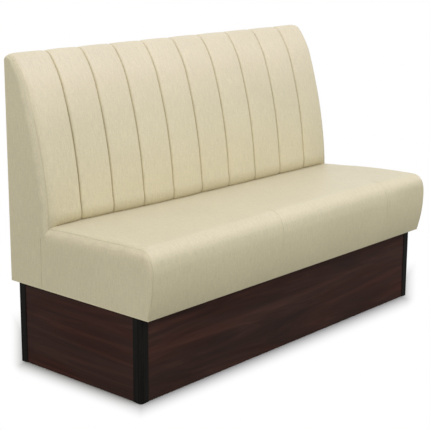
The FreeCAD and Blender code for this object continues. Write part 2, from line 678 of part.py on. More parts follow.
def channel(number):
    """One channel, from seam to seam. The first and last roll towards the end panels."""
    width = v.overall_length / CHANNELS
    left = number * width - v.overall_length / 2
    places = [left + share * width for share in CHANNEL_PLACE_SHARES]
    sections = [(x, share * v.channel_depth) for x, share in zip(places, CHANNEL_INSET_SHARES)]
    roll_start = v.overall_length / 2 - v.back_end_radius
    roll_width = v.back_end_radius - v.end_panel_thickness
    roll = [roll_start + share * roll_width for share in ROLL_PLACE_SHARES]
    if number == 0:
        inward = [section for section in sections if section[0] > left + width / 3]
        sections = [(-x, end_roll_inset(x)) for x in reversed(roll)] + inward
    if number == CHANNELS - 1:
        inward = [section for section in sections if section[0] < left + width * 2 / 3]
        sections = inward + [(x, end_roll_inset(x)) for x in roll]
    solid = Part.makeLoft([channel_section(x, inset) for x, inset in sections], True, False)
    return solid.cut(seat_clear.Shape)


for number in range(CHANNELS):
    feature("back_channel_%02d" % (number + 1), channel(number))


def end_panel_section(x):
    """An end panel's closed section at x, from the plinth to the top."""
    edges, foot, rear_top = face_edges(x, end_roll_inset(x))
    front = v.seat_depth - v.overall_depth / 2 + v.unit_gap
    corners = [rear_top,
               FreeCAD.Vector(x, rear_face, v.plinth_height), FreeCAD.Vector(x, front, v.plinth_height),
               FreeCAD.Vector(x, front, foot_level), foot]
    return Part.Wire(edges + line_through(corners))


for label, side in (("back_left_panel", -1), ("back_right_panel", 1)):
    inner = v.overall_length / 2 - v.end_panel_thickness
    places = [side * (inner + share * v.end_panel_thickness) for share in PANEL_PLACE_SHARES]
    loft = Part.makeLoft([end_panel_section(x) for x in places], True, False)
    feature(label, loft.cut(seat_clear.Shape))


def prism(edges, start, stop):
    """A closed profile at x = 0 carried from start to stop along the bench."""
    face = Part.Face(Part.Wire(edges))
    face.translate(FreeCAD.Vector(start, 0, 0))
    return face.extrude(FreeCAD.Vector(stop - start, 0, 0))


frame_rear = rear_face - v.cover_thickness - v.skin_thickness
frame_end = v.overall_length / 2 - v.end_panel_thickness - v.soft_gap
back_front = v.seat_depth - v.overall_depth / 2 + v.unit_gap
top_rail_foot = v.overall_height - v.channel_pad - v.top_rail_height


def rib_profile():
    """A rib's outline: straight behind the seat, then along the bent skin to the top rail."""
    low = skin_foot_turn
    high = turn_at(shoulder_centre, v.back_shoulder_radius - frame_depth, top_rail_foot)
    sweep = arc(sweep_centre, v.back_sweep_radius - frame_depth, low, SHOULDER_START, 0)
    shoulder = arc(shoulder_centre, v.back_shoulder_radius - frame_depth, SHOULDER_START, high, 0)
    corners = [shoulder.valueAt(shoulder.LastParameter),
               FreeCAD.Vector(0, frame_rear, top_rail_foot), FreeCAD.Vector(0, frame_rear, v.plinth_height),
               FreeCAD.Vector(0, back_front, v.plinth_height), sweep.valueAt(sweep.FirstParameter)]
    return [sweep, shoulder] + line_through(corners)


def top_rail_profile():
    """The shaped top rail: behind the skin below, under the channels' roll above."""
    low = turn_at(shoulder_centre, v.back_shoulder_radius - frame_depth, top_rail_foot)
    land = arc(shoulder_centre, v.back_shoulder_radius - frame_depth, low, ROLL_START, 0)
    roll = arc(roll_centre, v.back_roll_radius - v.channel_pad, ROLL_START, ROLL_END, 0)
    corners = [roll.valueAt(roll.LastParameter),
               FreeCAD.Vector(0, frame_rear, v.overall_height - v.channel_pad),
               FreeCAD.Vector(0, frame_rear, top_rail_foot), land.valueAt(land.FirstParameter)]
    step = line_through([land.valueAt(land.LastParameter), roll.valueAt(roll.FirstParameter)])
    return [land] + step + [roll] + line_through(corners)


def skin_profile():
    """The bent plywood skin that carries the channels."""
    low = skin_foot_turn
    front = [arc(sweep_centre, v.back_sweep_radius - v.channel_pad, low, SHOULDER_START, 0),
             arc(shoulder_centre, v.back_shoulder_radius - v.channel_pad, SHOULDER_START, ROLL_START, 0)]
    rear = [arc(shoulder_centre, v.back_shoulder_radius - frame_depth, ROLL_START, SHOULDER_START, 0),
            arc(sweep_centre, v.back_sweep_radius - frame_depth, SHOULDER_START, low, 0)]
    top = line_through([front[1].valueAt(front[1].LastParameter), rear[0].valueAt(rear[0].FirstParameter)])
    foot = line_through([rear[1].valueAt(rear[1].LastParameter), front[0].valueAt(front[0].FirstParameter)])
    return front + top + rear + foot


# Straight rails through the notches of all the ribs: name, front, rear and foot.
BACK_RAILS = (
    ("bolt_rail_blank", BACK_FRONT, BACK_FRONT + " + rail_thickness", "bolt_level - back_rail_height/2"),
    ("back_seat_rail", BACK_FRONT, BACK_FRONT + " + rail_thickness", "skin_foot - back_rail_height"),
    ("back_middle_rail", BACK_FRAME_REAR + " - rail_thickness", BACK_FRAME_REAR,
     "mid_rail_level - back_rail_height/2"),
    ("back_foot_rail", BACK_FRAME_REAR + " - rail_thickness", BACK_FRAME_REAR, "plinth_height"),
)
rails = [box(name, (neg(BACK_FRAME_END), near, foot), (BACK_FRAME_END, far, foot + " + back_rail_height"))
         for name, near, far, foot in BACK_RAILS]
cut_from("back_bolt_rail", rails[0],
         bolt_drills("bolt_rail_drill", BACK_FRONT, "(" + BACK_FRONT + " + rail_thickness)"))
for rail in rails[1:]:
    keep(rail, rail.Name)

for number in range(RIBS):
    x = (number - RIBS // 2) * (frame_end - v.board_thickness / 2) / (RIBS // 2)
    blank = doc.addObject("Part::Feature", "rib_blank_%d" % number)
    blank.Shape = prism(rib_profile(), x - v.board_thickness / 2, x + v.board_thickness / 2)
    tools = list(rails)
    if 0 < number < RIBS - 1:
        tools += [tool for tool in screw_drills("rib_drill_%d" % number, ("rear",))
                  if tool.Name.endswith("_%d" % (number - 1))]
    cut_from("back_rib_%d" % (number + 1), blank, tools)

feature("back_top_rail", prism(top_rail_profile(), -frame_end, frame_end))
feature("back_front_skin", prism(skin_profile(), -frame_end, frame_end))

rear_skin_top = BACK_SKIN_TOP + " - soft_gap"
keep(box("back_rear_skin", (neg(BACK_FRAME_END), BACK_FRAME_REAR, "plinth_height"),
         (BACK_FRAME_END, "overall_depth/2 - cover_thickness", rear_skin_top)), "back_rear_skin")
keep(box("back_rear_cover", (neg(BACK_FRAME_END), "overall_depth/2 - cover_thickness", "plinth_height"),
         (BACK_FRAME_END, "overall_depth/2", rear_skin_top)), "back_rear_cover")

# Bolts from the seat box into the back, with washers both sides and a nut behind.


def hexagon(height, x, y):
    """A hexagonal prism that starts at y and runs rearward."""
    corner = v.nut_flats / 2 / math.cos(math.pi / HEX_SIDES)
    turns = [math.tau * i / HEX_SIDES for i in range(HEX_SIDES)]
    points = [FreeCAD.Vector(x + corner * math.cos(turn), y, v.bolt_level + corner * math.sin(turn))
              for turn in turns]
    return Part.Face(Part.makePolygon(points + points[:1])).extrude(FreeCAD.Vector(0, height, 0))


def rod(radius, length, x, y):
    """A round bar along the bolt's axis that starts at y."""
    return Part.makeCylinder(radius, length, FreeCAD.Vector(x, y, v.bolt_level), FreeCAD.Vector(0, 1, 0))


def bolt_sets():
    """The bolts, their washers and their nuts, as three lists of solids."""
    end, front, rear = seat_rail_faces()
    behind = back_front + v.rail_thickness
    under_head = rear - v.washer_thickness
    nut_seat = behind + v.washer_thickness
    length = nut_seat + v.nut_height + v.bolt_tail - under_head
    bolts, washers, nuts = [], [], []
    for share in bolt_shares:
        x = share * (v.overall_length / 2 - v.bolt_end_inset)
        head = hexagon(v.bolt_head_height, x, under_head - v.bolt_head_height)
        shank = rod(v.bolt_radius, length + v.bolt_head_height / 2, x, under_head - v.bolt_head_height / 2)
        bolts.append(head.fuse(shank).removeSplitter())
        for y in (under_head, behind):
            ring = rod(v.washer_radius, v.washer_thickness, x, y)
            washers.append(ring.cut(rod(v.bolt_radius + v.bolt_hole_gap, v.washer_thickness, x, y)))
        bore = rod(v.bolt_radius + v.fit_gap, v.nut_height, x, nut_seat)
        nuts.append(hexagon(v.nut_height, x, nut_seat).cut(bore))
    return bolts, washers, nuts


for label, solids in zip(("unit_bolts", "unit_washers", "unit_nuts"), bolt_sets()):
    feature(label, Part.Compound(solids))

doc.recompute()
for piece in doc.Objects:
    if "Invalid" in piece.State or "Error" in piece.State:
        raise RuntimeError("%s failed: %s" % (piece.Label, piece.State))
os.makedirs("parts", exist_ok=True)
for piece in nodes:
    if piece.Shape.isNull() or not piece.Shape.isValid() or not piece.Shape.Solids:
        raise RuntimeError("%s has no valid solid" % piece.Label)
    piece.Shape.exportStep("parts/%s.step" % piece.Label)
    print("%-26s %2d solid(s) %12.1f mm3" % (piece.Label, len(piece.Shape.Solids), piece.Shape.Volume))
print("%d sub-parts" % len(nodes))
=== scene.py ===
import math

import bmesh
import bpy
import numpy as np
from mathutils import Matrix, Vector


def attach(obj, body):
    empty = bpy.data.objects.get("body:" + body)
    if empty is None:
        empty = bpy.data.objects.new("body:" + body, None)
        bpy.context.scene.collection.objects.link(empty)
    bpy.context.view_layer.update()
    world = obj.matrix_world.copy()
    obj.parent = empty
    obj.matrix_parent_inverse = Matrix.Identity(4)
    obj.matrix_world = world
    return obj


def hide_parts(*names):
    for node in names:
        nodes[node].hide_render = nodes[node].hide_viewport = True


# Restaurant booth bench: cream cloth over a seat box and a channelled back, on a dark boarded
# plinth. Metres, in the CAD's frame: X along the bench, the front faces -Y, Z up from the floor.

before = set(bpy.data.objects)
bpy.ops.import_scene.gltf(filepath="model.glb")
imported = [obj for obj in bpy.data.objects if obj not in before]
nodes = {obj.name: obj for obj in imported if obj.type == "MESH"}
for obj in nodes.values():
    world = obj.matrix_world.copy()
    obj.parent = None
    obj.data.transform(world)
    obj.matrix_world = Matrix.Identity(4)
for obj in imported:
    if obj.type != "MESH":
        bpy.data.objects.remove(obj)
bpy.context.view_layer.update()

# Sizes of the whole, as in the CAD
LENGTH, DEPTH, HEIGHT = 1.522, 0.672, 1.050
END, REAR = LENGTH / 2, DEPTH / 2
PLINTH_TOP = 0.282
PLINTH_END, PLINTH_FRONT, PLINTH_REAR = 0.758, -0.276, 0.304
PLAY = 0.0004

# Seat. Its top falls along an arc from nose to rear. At the joins its cover is pieced together.
SEAT_TOP, SEAT_REAR = 0.512, 0.18032
SEAT_FALL = 0.026
SEAT_CROWN, SEAT_RISE = 0.003, 0.0005
NOSE_RADIUS, NOSE_RISE, NOSE_POWER = 0.055, 0.082, 2.9
DRAW_IN = 0.024
END_ROLL, RIGHT_ROLL = 0.030, 0.020
CORNER_ROLL, EDGE_ROLL = 0.006, 0.0005
HEM = 0.026
UNDER_FRONT, UNDER_REAR, UNDER_RISE = -0.286, 0.1545, 0.0018
SEAT_RUN = SEAT_REAR + REAR - NOSE_RADIUS
SEAT_RADIUS = (SEAT_RUN ** 2 + SEAT_FALL ** 2) / (2 * SEAT_FALL)
SEAT_JOINS = (-0.128, 0.500)
# Below its seam an end swells back to its plane, over so many times the seam's depth, by a power.
END_SWELL, SWELL_POWER = 12, 6

# Back. Its ends are rolled more on the left (-1) than on the right (1).
BACK_FRONT = 0.180435
CHANNELS = 10
CHANNEL_WIDTH = LENGTH / CHANNELS
CROWN_DEPTH = 0.008
GROOVE_DEPTH, GROOVE_WIDTH = 0.009, 0.0022
CHANNEL_PAD = 0.0377
BACK_ROLLS = {-1: 0.038, 1: 0.029}
PANEL_FACE, PANEL_REAR = 0.7527, 0.7502

# Seams: the dip that one makes, its width on the seat and at the end panels, and the gap left in it
SEAM_DIP, SEAM_WIDTH, PANEL_SEAM_WIDTH = 0.0007, 0.0012, 0.0014
SEAM_GAP = 0.00012

# Painted shading on the cloth: 1 is the darkest painted shade and -1 the brightest painted
# highlight. Of the back's seams, counted from the left, the first ones have the darkest painted
# shade.
# Painted shade in the seat's end seams and joins, along the crease and along the back's foot
END_SEAM_SHADE, JOIN_SHADE, CREASE_SHADE, FOOT_SHADE = 0.30, 0.22, 0.10, 0.42
CHANNEL_SEAM_SHADE = ((1, 2, 4), (0.40, 0.27, 0.22))
# Painted highlights below the seat's end seams and over the back's shoulder
END_HIGHLIGHT, SHOULDER_HIGHLIGHT = 0.85, 0.75
SHOULDER_LEVEL = 0.80


def smooth(t):
    """0 before 0, 1 after 1, and an even turn between them."""
    t = np.clip(t, 0, 1)
    return t * t * (3 - 2 * t)


def bell(distance, width):
    """1 at no distance, falling off evenly on both sides."""
    return np.exp(-(distance / width) ** 2)


def rolled(distance, radius):
    """How far a round edge draws the surface in, at a distance from the edge's end."""
    short = np.clip(radius - distance, 0, radius)
    return radius - np.sqrt(radius ** 2 - short ** 2)


def waves(x, y, seed):
    """Slow unevenness of a stuffed surface, from about -1 to 1."""
    rng = np.random.default_rng(seed)
    total = np.zeros(np.broadcast(x, y).shape)
    for _ in range(9):
        kx, ky = rng.uniform(-26, 26, 2)
        total = total + np.sin(kx * x + ky * y + rng.uniform(0, 6.28))
    return total / 9


def run_length(points):
    """The way along a line of points, at each of them."""
    return np.concatenate([[0], np.cumsum(np.linalg.norm(np.diff(points, axis=0), axis=1))])


def between(first, last, count):
    """A grid of straight lines from the points of one line to those of another."""
    shares = np.linspace(0, 1, count)[:, None, None]
    return first[None] * (1 - shares) + last[None] * shares


# Meshes are built from patches: grids of points with a UV of their own, in metres of cloth.


def patch(points, uv, painted_shading=0):
    """A grid of points with its UV, and its cloth's painted shading: painted shade in seams and
    creases where positive, painted highlight where negative.
    """
    points = np.asarray(points, float)
    return points, np.asarray(uv, float), np.broadcast_to(painted_shading, points.shape[:2])


def corners(grid):
    """The four corners of each cell of a grid."""
    return np.stack([grid[:-1, :-1], grid[1:, :-1], grid[1:, 1:], grid[:-1, 1:]], 2)


def placed(name, data):
    """A new object in the scene."""
    made = bpy.data.objects.new(name, data)
    bpy.context.scene.collection.objects.link(made)
    return made


def build(name, patches, sharp=50):
    """A piece from patches, joined where they meet."""
    verts, faces, uvs, shades = [], [], [], []
    start = 0
    for points, uv, painted_shading in patches:
        index = start + np.arange(painted_shading.size).reshape(painted_shading.shape)
        verts.append(points.reshape(-1, 3))
        faces.append(corners(index).reshape(-1, 4))
        uvs.append(corners(uv).reshape(-1, 2))
        shades.append(np.asarray(painted_shading, float).ravel())
        start += painted_shading.size
    mesh = bpy.data.meshes.new(name)
    mesh.from_pydata(np.concatenate(verts).tolist(), [], np.concatenate(faces).tolist())
    layer = mesh.uv_layers.new(name="UVMap")
    layer.data.foreach_set("uv", np.concatenate(uvs).ravel())
    # The cloth's painted shade and painted highlight, as a point attribute
    attribute = mesh.attributes.new("painted_shading", "FLOAT", "POINT")
    attribute.data.foreach_set("value", np.concatenate(shades))
    work = bmesh.new()
    work.from_mesh(mesh)
    bmesh.ops.remove_doubles(work, verts=work.verts, dist=2e-5)
    bmesh.ops.dissolve_degenerate(work, edges=work.edges, dist=1e-7)
    bmesh.ops.recalc_face_normals(work, faces=work.faces)
    work.to_mesh(mesh)
    work.free()
    mesh.shade_smooth()
    mesh.set_sharp_from_angle(angle=math.radians(sharp))
    return placed(name, mesh)


def finish_piece(piece, material, replaced=()):
    """Give a piece its material and its body, and hide the CAD nodes that it stands for."""
    piece.data.materials.clear()
    piece.data.materials.append(material)
    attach(piece, "root")
    if replaced:
        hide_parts(*replaced)
    return piece


# Materials


def linear(*colour):
    """sRGB from 0 to 255 as the linear colour that a shader takes."""
    parts = [c / 255 for c in colour]
    return [c / 12.92 if c <= 0.04045 else ((c + 0.055) / 1.055) ** 2.4 for c in parts] + [1.0]


class Nodes:
    """The node tree of a material or world. An input takes a value or another node's output."""

    def __init__(self, owner):
        owner.use_nodes = True
        self.tree = owner.node_tree
        self.tree.nodes.clear()

    def give(self, socket, value):
        if isinstance(value, bpy.types.NodeSocket):
            self.tree.links.new(value, socket)
        else:
            socket.default_value = value

    def node(self, kind, inputs=(), **settings):
        """A node with its settings and its inputs, each given by its name or number."""
        made = self.tree.nodes.new(kind)
        for key, value in settings.items():
            setattr(made, key, value)
        for key, value in dict(inputs).items():
            self.give(made.inputs[key], value)
        return made

    def maths(self, operation, *values):
        return self.node("ShaderNodeMath", enumerate(values), operation=operation).outputs[0]

    def vector(self, operation, *values):
        """A vector worked out from others, or the number that a length or dot product gives."""
        made = self.node("ShaderNodeVectorMath", enumerate(values), operation=operation)
        return made.outputs["Value" if operation in ("LENGTH", "DOT_PRODUCT") else "Vector"]

    def span(self, value, low, high, start=0.25, stop=0.75, **settings):
        """A value between start and stop, as a noise gives it, spread from low to high."""
        limits = {"From Min": start, "From Max": stop, "To Min": low, "To Max": high}
        made = self.node("ShaderNodeMapRange", {"Value": value, **limits}, **settings)
        return made.outputs["Result"]

    def show(self, output, share, first, second):
        """End the tree in one shader or the other, by a share from 0 to 1."""
        mix = self.node("ShaderNodeMixShader", {"Fac": share, 1: first, 2: second})
        self.node(output, {"Surface": mix.outputs[0]})


class Shader(Nodes):
    """A material with one principled surface."""

    def __init__(self, name):
        self.material = bpy.data.materials.new(name)
        super().__init__(self.material)
        self.surface = self.node("ShaderNodeBsdfPrincipled")
        self.node("ShaderNodeOutputMaterial", {"Surface": self.surface.outputs["BSDF"]})

    def set(self, **values):
        for key, value in values.items():
            self.give(self.surface.inputs[key.replace("_", " ")], value)

    def coordinates(self, kind, scale):
        place = self.node("ShaderNodeTexCoord").outputs[kind]
        return self.node("ShaderNodeMapping", {"Scale": scale, "Vector": place}).outputs["Vector"]

    def noise(self, vector, scale, detail, roughness, distortion=0.0):
        looks = {"Scale": scale, "Detail": detail, "Roughness": roughness, "Distortion": distortion}
        return self.node("ShaderNodeTexNoise", {"Vector": vector, **looks}).outputs["Fac"]

    def bands(self, vector, scale, direction, distortion):
        looks = {"Vector": vector, "Scale": scale, "Distortion": distortion}
        made = self.node("ShaderNodeTexWave", looks, wave_type="BANDS", bands_direction=direction)
        return made.outputs["Fac"]

    def ramp(self, value, stops):
        """Colours at places from 0 to 1, and even steps between them."""
        made = self.node("ShaderNodeValToRGB", {"Fac": value})
        elements = made.color_ramp.elements
        while len(elements) < len(stops):
            elements.new(0.5)
        for element, (place, colour) in zip(elements, stops):
            element.position = place
            element.color = colour
        return made.outputs["Color"]

    def tinted(self, colour, tint):
        """A colour multiplied by another."""
        made = self.node("ShaderNodeMix", {"Factor": 1.0, "A": colour, "B": tint},
                         data_type="RGBA", blend_type="MULTIPLY")
        return made.outputs["Result"]

    def scaled(self, colour, factor):
        """A colour made lighter or darker by a factor."""
        made = self.node("ShaderNodeVectorMath", {0: colour, "Scale": factor}, operation="SCALE")
        return made.outputs[0]

    def bump(self, height, distance, strength):
        looks = {"Height": height, "Distance": distance, "Strength": strength}
        self.set(Normal=self.node("ShaderNodeBump", looks).outputs["Normal"])


def cloth_material(name, low, middle, high):
    """Plain-woven upholstery cloth. Its warp runs along V and shows as fine streaks."""
    shader = Shader(name)
    place = shader.coordinates("Object", (1, 1, 1))
    warp = shader.noise(shader.coordinates("UV", (230, 24, 1)), 1, 3, 0.6)
    weft = shader.noise(shader.coordinates("UV", (60, 380, 1)), 1, 2, 0.5)
    nub = shader.noise(place, 330, 2, 0.6)
    mottle = shader.noise(place, 150, 2, 0.6)
    factor = 1.0
    for fleck, dark, light in ((warp, 0.93, 1.06), (weft, 0.98, 1.015), (nub, 0.95, 1.045),
                               (mottle, 0.955, 1.045)):
        factor = shader.maths("MULTIPLY", factor, shader.span(fleck, dark, light))
    cloud = shader.noise(place, 4, 2, 0.5)
    tone = shader.ramp(cloud, [(0.3, linear(*low)), (0.5, linear(*middle)), (0.7, linear(*high))])
    # The attribute runs from -1, a painted highlight on the cloth's bends, to 1, painted shade in a
    # seam or crease.
    painted_shading = shader.node("ShaderNodeAttribute", attribute_name="painted_shading").outputs["Fac"]
    painted_shading_tint = shader.ramp(shader.span(painted_shading, 0, 1, -1, 1), [
        (0.0, (1.17, 1.14, 1.17, 1.0)), (0.5, linear(255, 255, 255)), (1.0, linear(150, 144, 104))])
    weave = shader.coordinates("UV", (1, 1, 1))
    threads = shader.maths("MULTIPLY", shader.bands(weave, 95, "X", 0.4),
                           shader.bands(weave, 95, "Y", 0.4))
    shader.bump(shader.maths("ADD", threads, shader.maths("MULTIPLY", warp, 1.2)), 0.00018, 0.5)
    shader.set(Base_Color=shader.scaled(shader.tinted(tone, painted_shading_tint), factor), Roughness=0.48,
               Sheen_Weight=0.12, Sheen_Roughness=0.45, Sheen_Tint=linear(255, 250, 236),
               Specular_IOR_Level=0.7)
    return shader.material


def laminate_material(name, along, width, tones):
    """Dark wenge laminate. Its grain runs along X or Y, in bands of a width and three tones."""
    shader = Shader(name)

    def grain(fine, coarse, *looks):
        scale = (coarse, 1, fine) if along == "X" else (1, coarse, fine)
        return shader.noise(shader.coordinates("Object", scale), 1, *looks)

    broad = grain(width, 1.3, 4, 0.62, 1.1)
    pores = grain(420, 7, 2, 0.5)
    red = grain(9, 1.7, 3, 0.55, 0.6)
    stops = [(place, linear(*tone)) for place, tone in zip((0.25, 0.5, 0.72), tones)]
    warm = shader.ramp(red, [(0.45, linear(255, 255, 255)), (0.7, linear(255, 224, 220))])
    base = shader.tinted(shader.ramp(broad, stops), warm)
    shader.bump(pores, 0.00006, 0.5)
    shader.set(Base_Color=shader.scaled(base, shader.span(pores, 0.86, 1.08)),
               Roughness=shader.span(broad, 0.46, 0.56), Specular_IOR_Level=0.12)
    return shader.material


def plain_material(name, dark, light, roughness, grain, depth, metallic=0.0, gloss=0.5):
    """A worked material with fine mottling: plastic, metal, thread or webbing."""
    shader = Shader(name)
    fleck = shader.noise(shader.coordinates("Object", grain), 1, 3, 0.6)
    shader.bump(fleck, depth, 0.6)
    shader.set(Base_Color=shader.ramp(fleck, [(0.35, linear(*dark)), (0.65, linear(*light))]),
               Roughness=shader.span(fleck, roughness - 0.05, roughness + 0.06),
               Metallic=metallic, Specular_IOR_Level=gloss)
    return shader.material


def timber_material(name, dark, light, along):
    """Planed timber or plywood, its grain along one axis."""
    shader = Shader(name)
    scales = {"X": (2, 60, 60), "Y": (60, 2, 60), "Z": (60, 60, 2)}[along]
    growth = shader.noise(shader.coordinates("Object", scales), 1, 4, 0.6, 0.8)
    shader.bump(growth, 0.0001, 0.4)
    shader.set(Base_Color=shader.ramp(growth, [(0.3, linear(*dark)), (0.7, linear(*light))]),
               Roughness=0.7)
    return shader.material


cream = cloth_material("cream_cloth", (220, 210, 178), (222, 212, 180), (224, 214, 182))
thread = plain_material("cream_thread", (186, 176, 138), (206, 197, 160), 0.7, (700, 700, 700),
                        0.00008)
black_cloth = plain_material("black_dust_cloth", (24, 24, 25), (36, 36, 37), 0.9, (260, 260, 260),
                             0.0001)
laminate_x = laminate_material("wenge_along_x", "X", 13, ((43, 32, 28), (62, 43, 38), (85, 57, 51)))
laminate_y = laminate_material("wenge_along_y", "Y", 26, ((49, 34, 31), (61, 42, 37), (75, 51, 44)))
profile = plain_material("black_profile", (22, 21, 19), (30, 29, 26), 0.45, (90, 90, 4), 0.00003,
                         gloss=0.12)
plastic = plain_material("black_plastic", (18, 18, 18), (26, 26, 26), 0.5, (300, 300, 300), 0.00005)
zinc = plain_material("zinc_steel", (160, 162, 165), (186, 188, 190), 0.32, (220, 220, 220),
                      0.00003, metallic=1.0)
web_cloth = plain_material("black_webbing", (26, 26, 28), (44, 44, 46), 0.85, (900, 60, 900),
                           0.0002)
pine_x = timber_material("softwood_along_x", (196, 160, 112), (222, 190, 144), "X")
pine_y = timber_material("softwood_along_y", (196, 160, 112), (222, 190, 144), "Y")
plywood = timber_material("plywood", (188, 152, 106), (214, 182, 138), "Z")


# Seat: one stuffed form with a rolled nose, drawn-in front and rolled ends.


def seat_drop(y):
    """How far the seat lies below its crown at y, behind the nose."""
    along = np.clip(y + REAR - NOSE_RADIUS, 0, SEAT_RUN)
    return SEAT_RADIUS - np.sqrt(SEAT_RADIUS ** 2 - along ** 2)


def seat_crown(x):
    """The stuffing's rise along the bench, a little fuller towards the right end."""
    return SEAT_CROWN * (1 - np.abs(x) / END) + SEAT_RISE * smooth((x - 0.30) / 0.36)


def rear_fill(x, y):
    """How far the stuffing lifts the seat along the crease: more at the left end than the right."""
    fill = np.interp(x, (-0.60, -0.45, -0.30, -0.12, 0.05),
                     (0.0078, 0.0042, 0.0004, -0.0028, -0.0036))
    return fill * smooth((y + 0.10) / 0.26)


def right_ease(x, y):
    """How far the stuffing has settled before the crease towards the right end."""
    return 0.0042 * smooth((x - 0.40) / 0.30) * smooth((0.16 - y) / 0.14)


def seat_level(x, y):
    """The level of the seat's top along the crease, rolled ends included."""
    roll = np.where(x < 0, END_ROLL, RIGHT_ROLL)
    return SEAT_TOP + seat_crown(x) + rear_fill(x, y) - seat_drop(y) - rolled(END - np.abs(x), roll)


def before_back(y):
    """1 in front of the back, easing to 0 at the seat's rear face."""
    return smooth((SEAT_REAR - y) / 0.045)


def near_join(x):
    """1 at a join of the seat's cover, falling to 0 within the width of its seam."""
    return np.max([bell(x - place, SEAM_WIDTH) for place in SEAT_JOINS], 0)


def seat_ring(turn, crown, roll, power):
    """The seat's side profile where an end's round edges have turned by an angle.
    The nose is an ellipse at power 2 and squarer above it. Gives the front, top, rear and base:
    for each point y, z and the radius of the end's edge there."""
    draw = 1 - math.cos(turn)
    edge = EDGE_ROLL - EDGE_ROLL * draw
    nose_level = SEAT_TOP + crown - NOSE_RISE
    drop = nose_level - PLINTH_TOP
    lean_radius = (drop ** 2 + DRAW_IN ** 2) / (2 * DRAW_IN)
    lean = math.asin((drop - EDGE_ROLL) / (lean_radius - EDGE_ROLL))
    foot_y = -REAR + lean_radius - (lean_radius - EDGE_ROLL) * math.cos(lean)
    low_z = PLINTH_TOP + EDGE_ROLL
    stop = math.asin((SEAT_RUN - EDGE_ROLL) / (SEAT_RADIUS - EDGE_ROLL))
    centre_z = SEAT_TOP + crown - SEAT_RADIUS
    rear_y = SEAT_REAR - EDGE_ROLL
    rear_z = centre_z + (SEAT_RADIUS - EDGE_ROLL) * math.cos(stop) - (roll - EDGE_ROLL) * draw

    def low_front_edge(share):
        angle = -math.pi / 2 - (math.pi / 2 - lean) * share
        return foot_y + edge * math.cos(angle), low_z + edge * math.sin(angle), EDGE_ROLL

    front = [low_front_edge(share) for share in np.linspace(0.5, 1, 4)[:-1]]
    radius = lean_radius - CORNER_ROLL * draw
    for angle in lean * (1 - np.linspace(0, 1, 26)):
        front.append((-REAR + lean_radius - radius * math.cos(angle),
                      nose_level - radius * math.sin(angle), CORNER_ROLL))
    top = []
    for share in np.linspace(0, 1, 33)[1:]:
        radius = CORNER_ROLL + (roll - CORNER_ROLL) * float(smooth(share))
        across = abs(math.cos(math.pi / 2 * share)) ** (2 / power)
        up = math.sin(math.pi / 2 * share) ** (2 / power)
        (front if share <= 0.5 else top).append((
            -REAR + NOSE_RADIUS - (NOSE_RADIUS - radius * draw) * across,
            nose_level + (NOSE_RISE - radius * draw) * up, radius))
    radius = SEAT_RADIUS - roll * draw
    for angle in stop * np.linspace(0, 1, 70)[1:]:
        top.append((-REAR + NOSE_RADIUS + radius * math.sin(angle),
                    centre_z + radius * math.cos(angle), roll))
    rear = []
    for share in np.linspace(0, 1, 5)[1:]:
        angle = math.pi / 2 - stop + share * (stop - math.pi / 2)
        (top if share <= 0.5 else rear).append((
            rear_y + edge * math.cos(angle), rear_z + edge * math.sin(angle),
            roll + (EDGE_ROLL - roll) * share))
    for share in np.linspace(0, 1, 30)[1:]:
        rear.append((rear_y + edge, rear_z + (low_z - rear_z) * share, EDGE_ROLL))
    base = []
    for share in np.linspace(0, 1, 5)[1:]:
        angle = -math.pi / 2 * share
        (rear if share <= 0.5 else base).append((
            rear_y + edge * math.cos(angle), low_z + edge * math.sin(angle), EDGE_ROLL))
    for share in np.linspace(0, 1, 60)[1:]:
        base.append((rear_y + (foot_y - rear_y) * share, low_z - edge, EDGE_ROLL))
    base += [low_front_edge(share) for share in np.linspace(0, 0.5, 3)[1:]]
    return front, top, rear, base


def seam_turn(y, z):
    """Where the seam along an end's edge lies: the edge's turn at it, in radians."""
    over = np.interp(y, (-REAR + 0.02, -0.20, 0.02, 0.10, SEAT_REAR), (55, 49, 44, 42, 42))
    return np.radians(np.where(z < SEAT_TOP - NOSE_RISE, 56, over))


def end_fall(points, curve, fall):
    """How far an end of the seat lies inside its plane: most at the seam, easing out below it.
    Gives also the painted highlight on the cloth below the seam."""
    gap = np.linalg.norm(points[..., None, :] - curve, axis=-1)
    distance, depth = gap.min(-1), fall[gap.argmin(-1)]
    left = 1 - np.clip(distance / (END_SWELL * np.maximum(depth, 0.001)), 0, 1)
    # Painted highlight below the seam, fading towards the back
    light = END_HIGHLIGHT * bell(distance, 0.028) * smooth((points[..., 1] - 0.40) / 0.08)
    return depth * left ** SWELL_POWER, light * before_back(points[..., 0])


def surface_normals(grid, centre):
    """Outward unit normals of a grid that closes round its second direction."""
    ahead = np.gradient(grid, axis=0)
    closed = np.concatenate([grid[:, -2:-1], grid, grid[:, 1:2]], 1)
    around = (closed[:, 2:] - closed[:, :-2]) / 2
    normal = np.cross(ahead, around)
    length = np.linalg.norm(normal, axis=2, keepdims=True)
    normal = normal / np.maximum(length, 1e-12)
    facing = np.sign((normal * (grid - centre)).sum(2, keepdims=True))
    return normal * np.where(facing == 0, 1, facing)


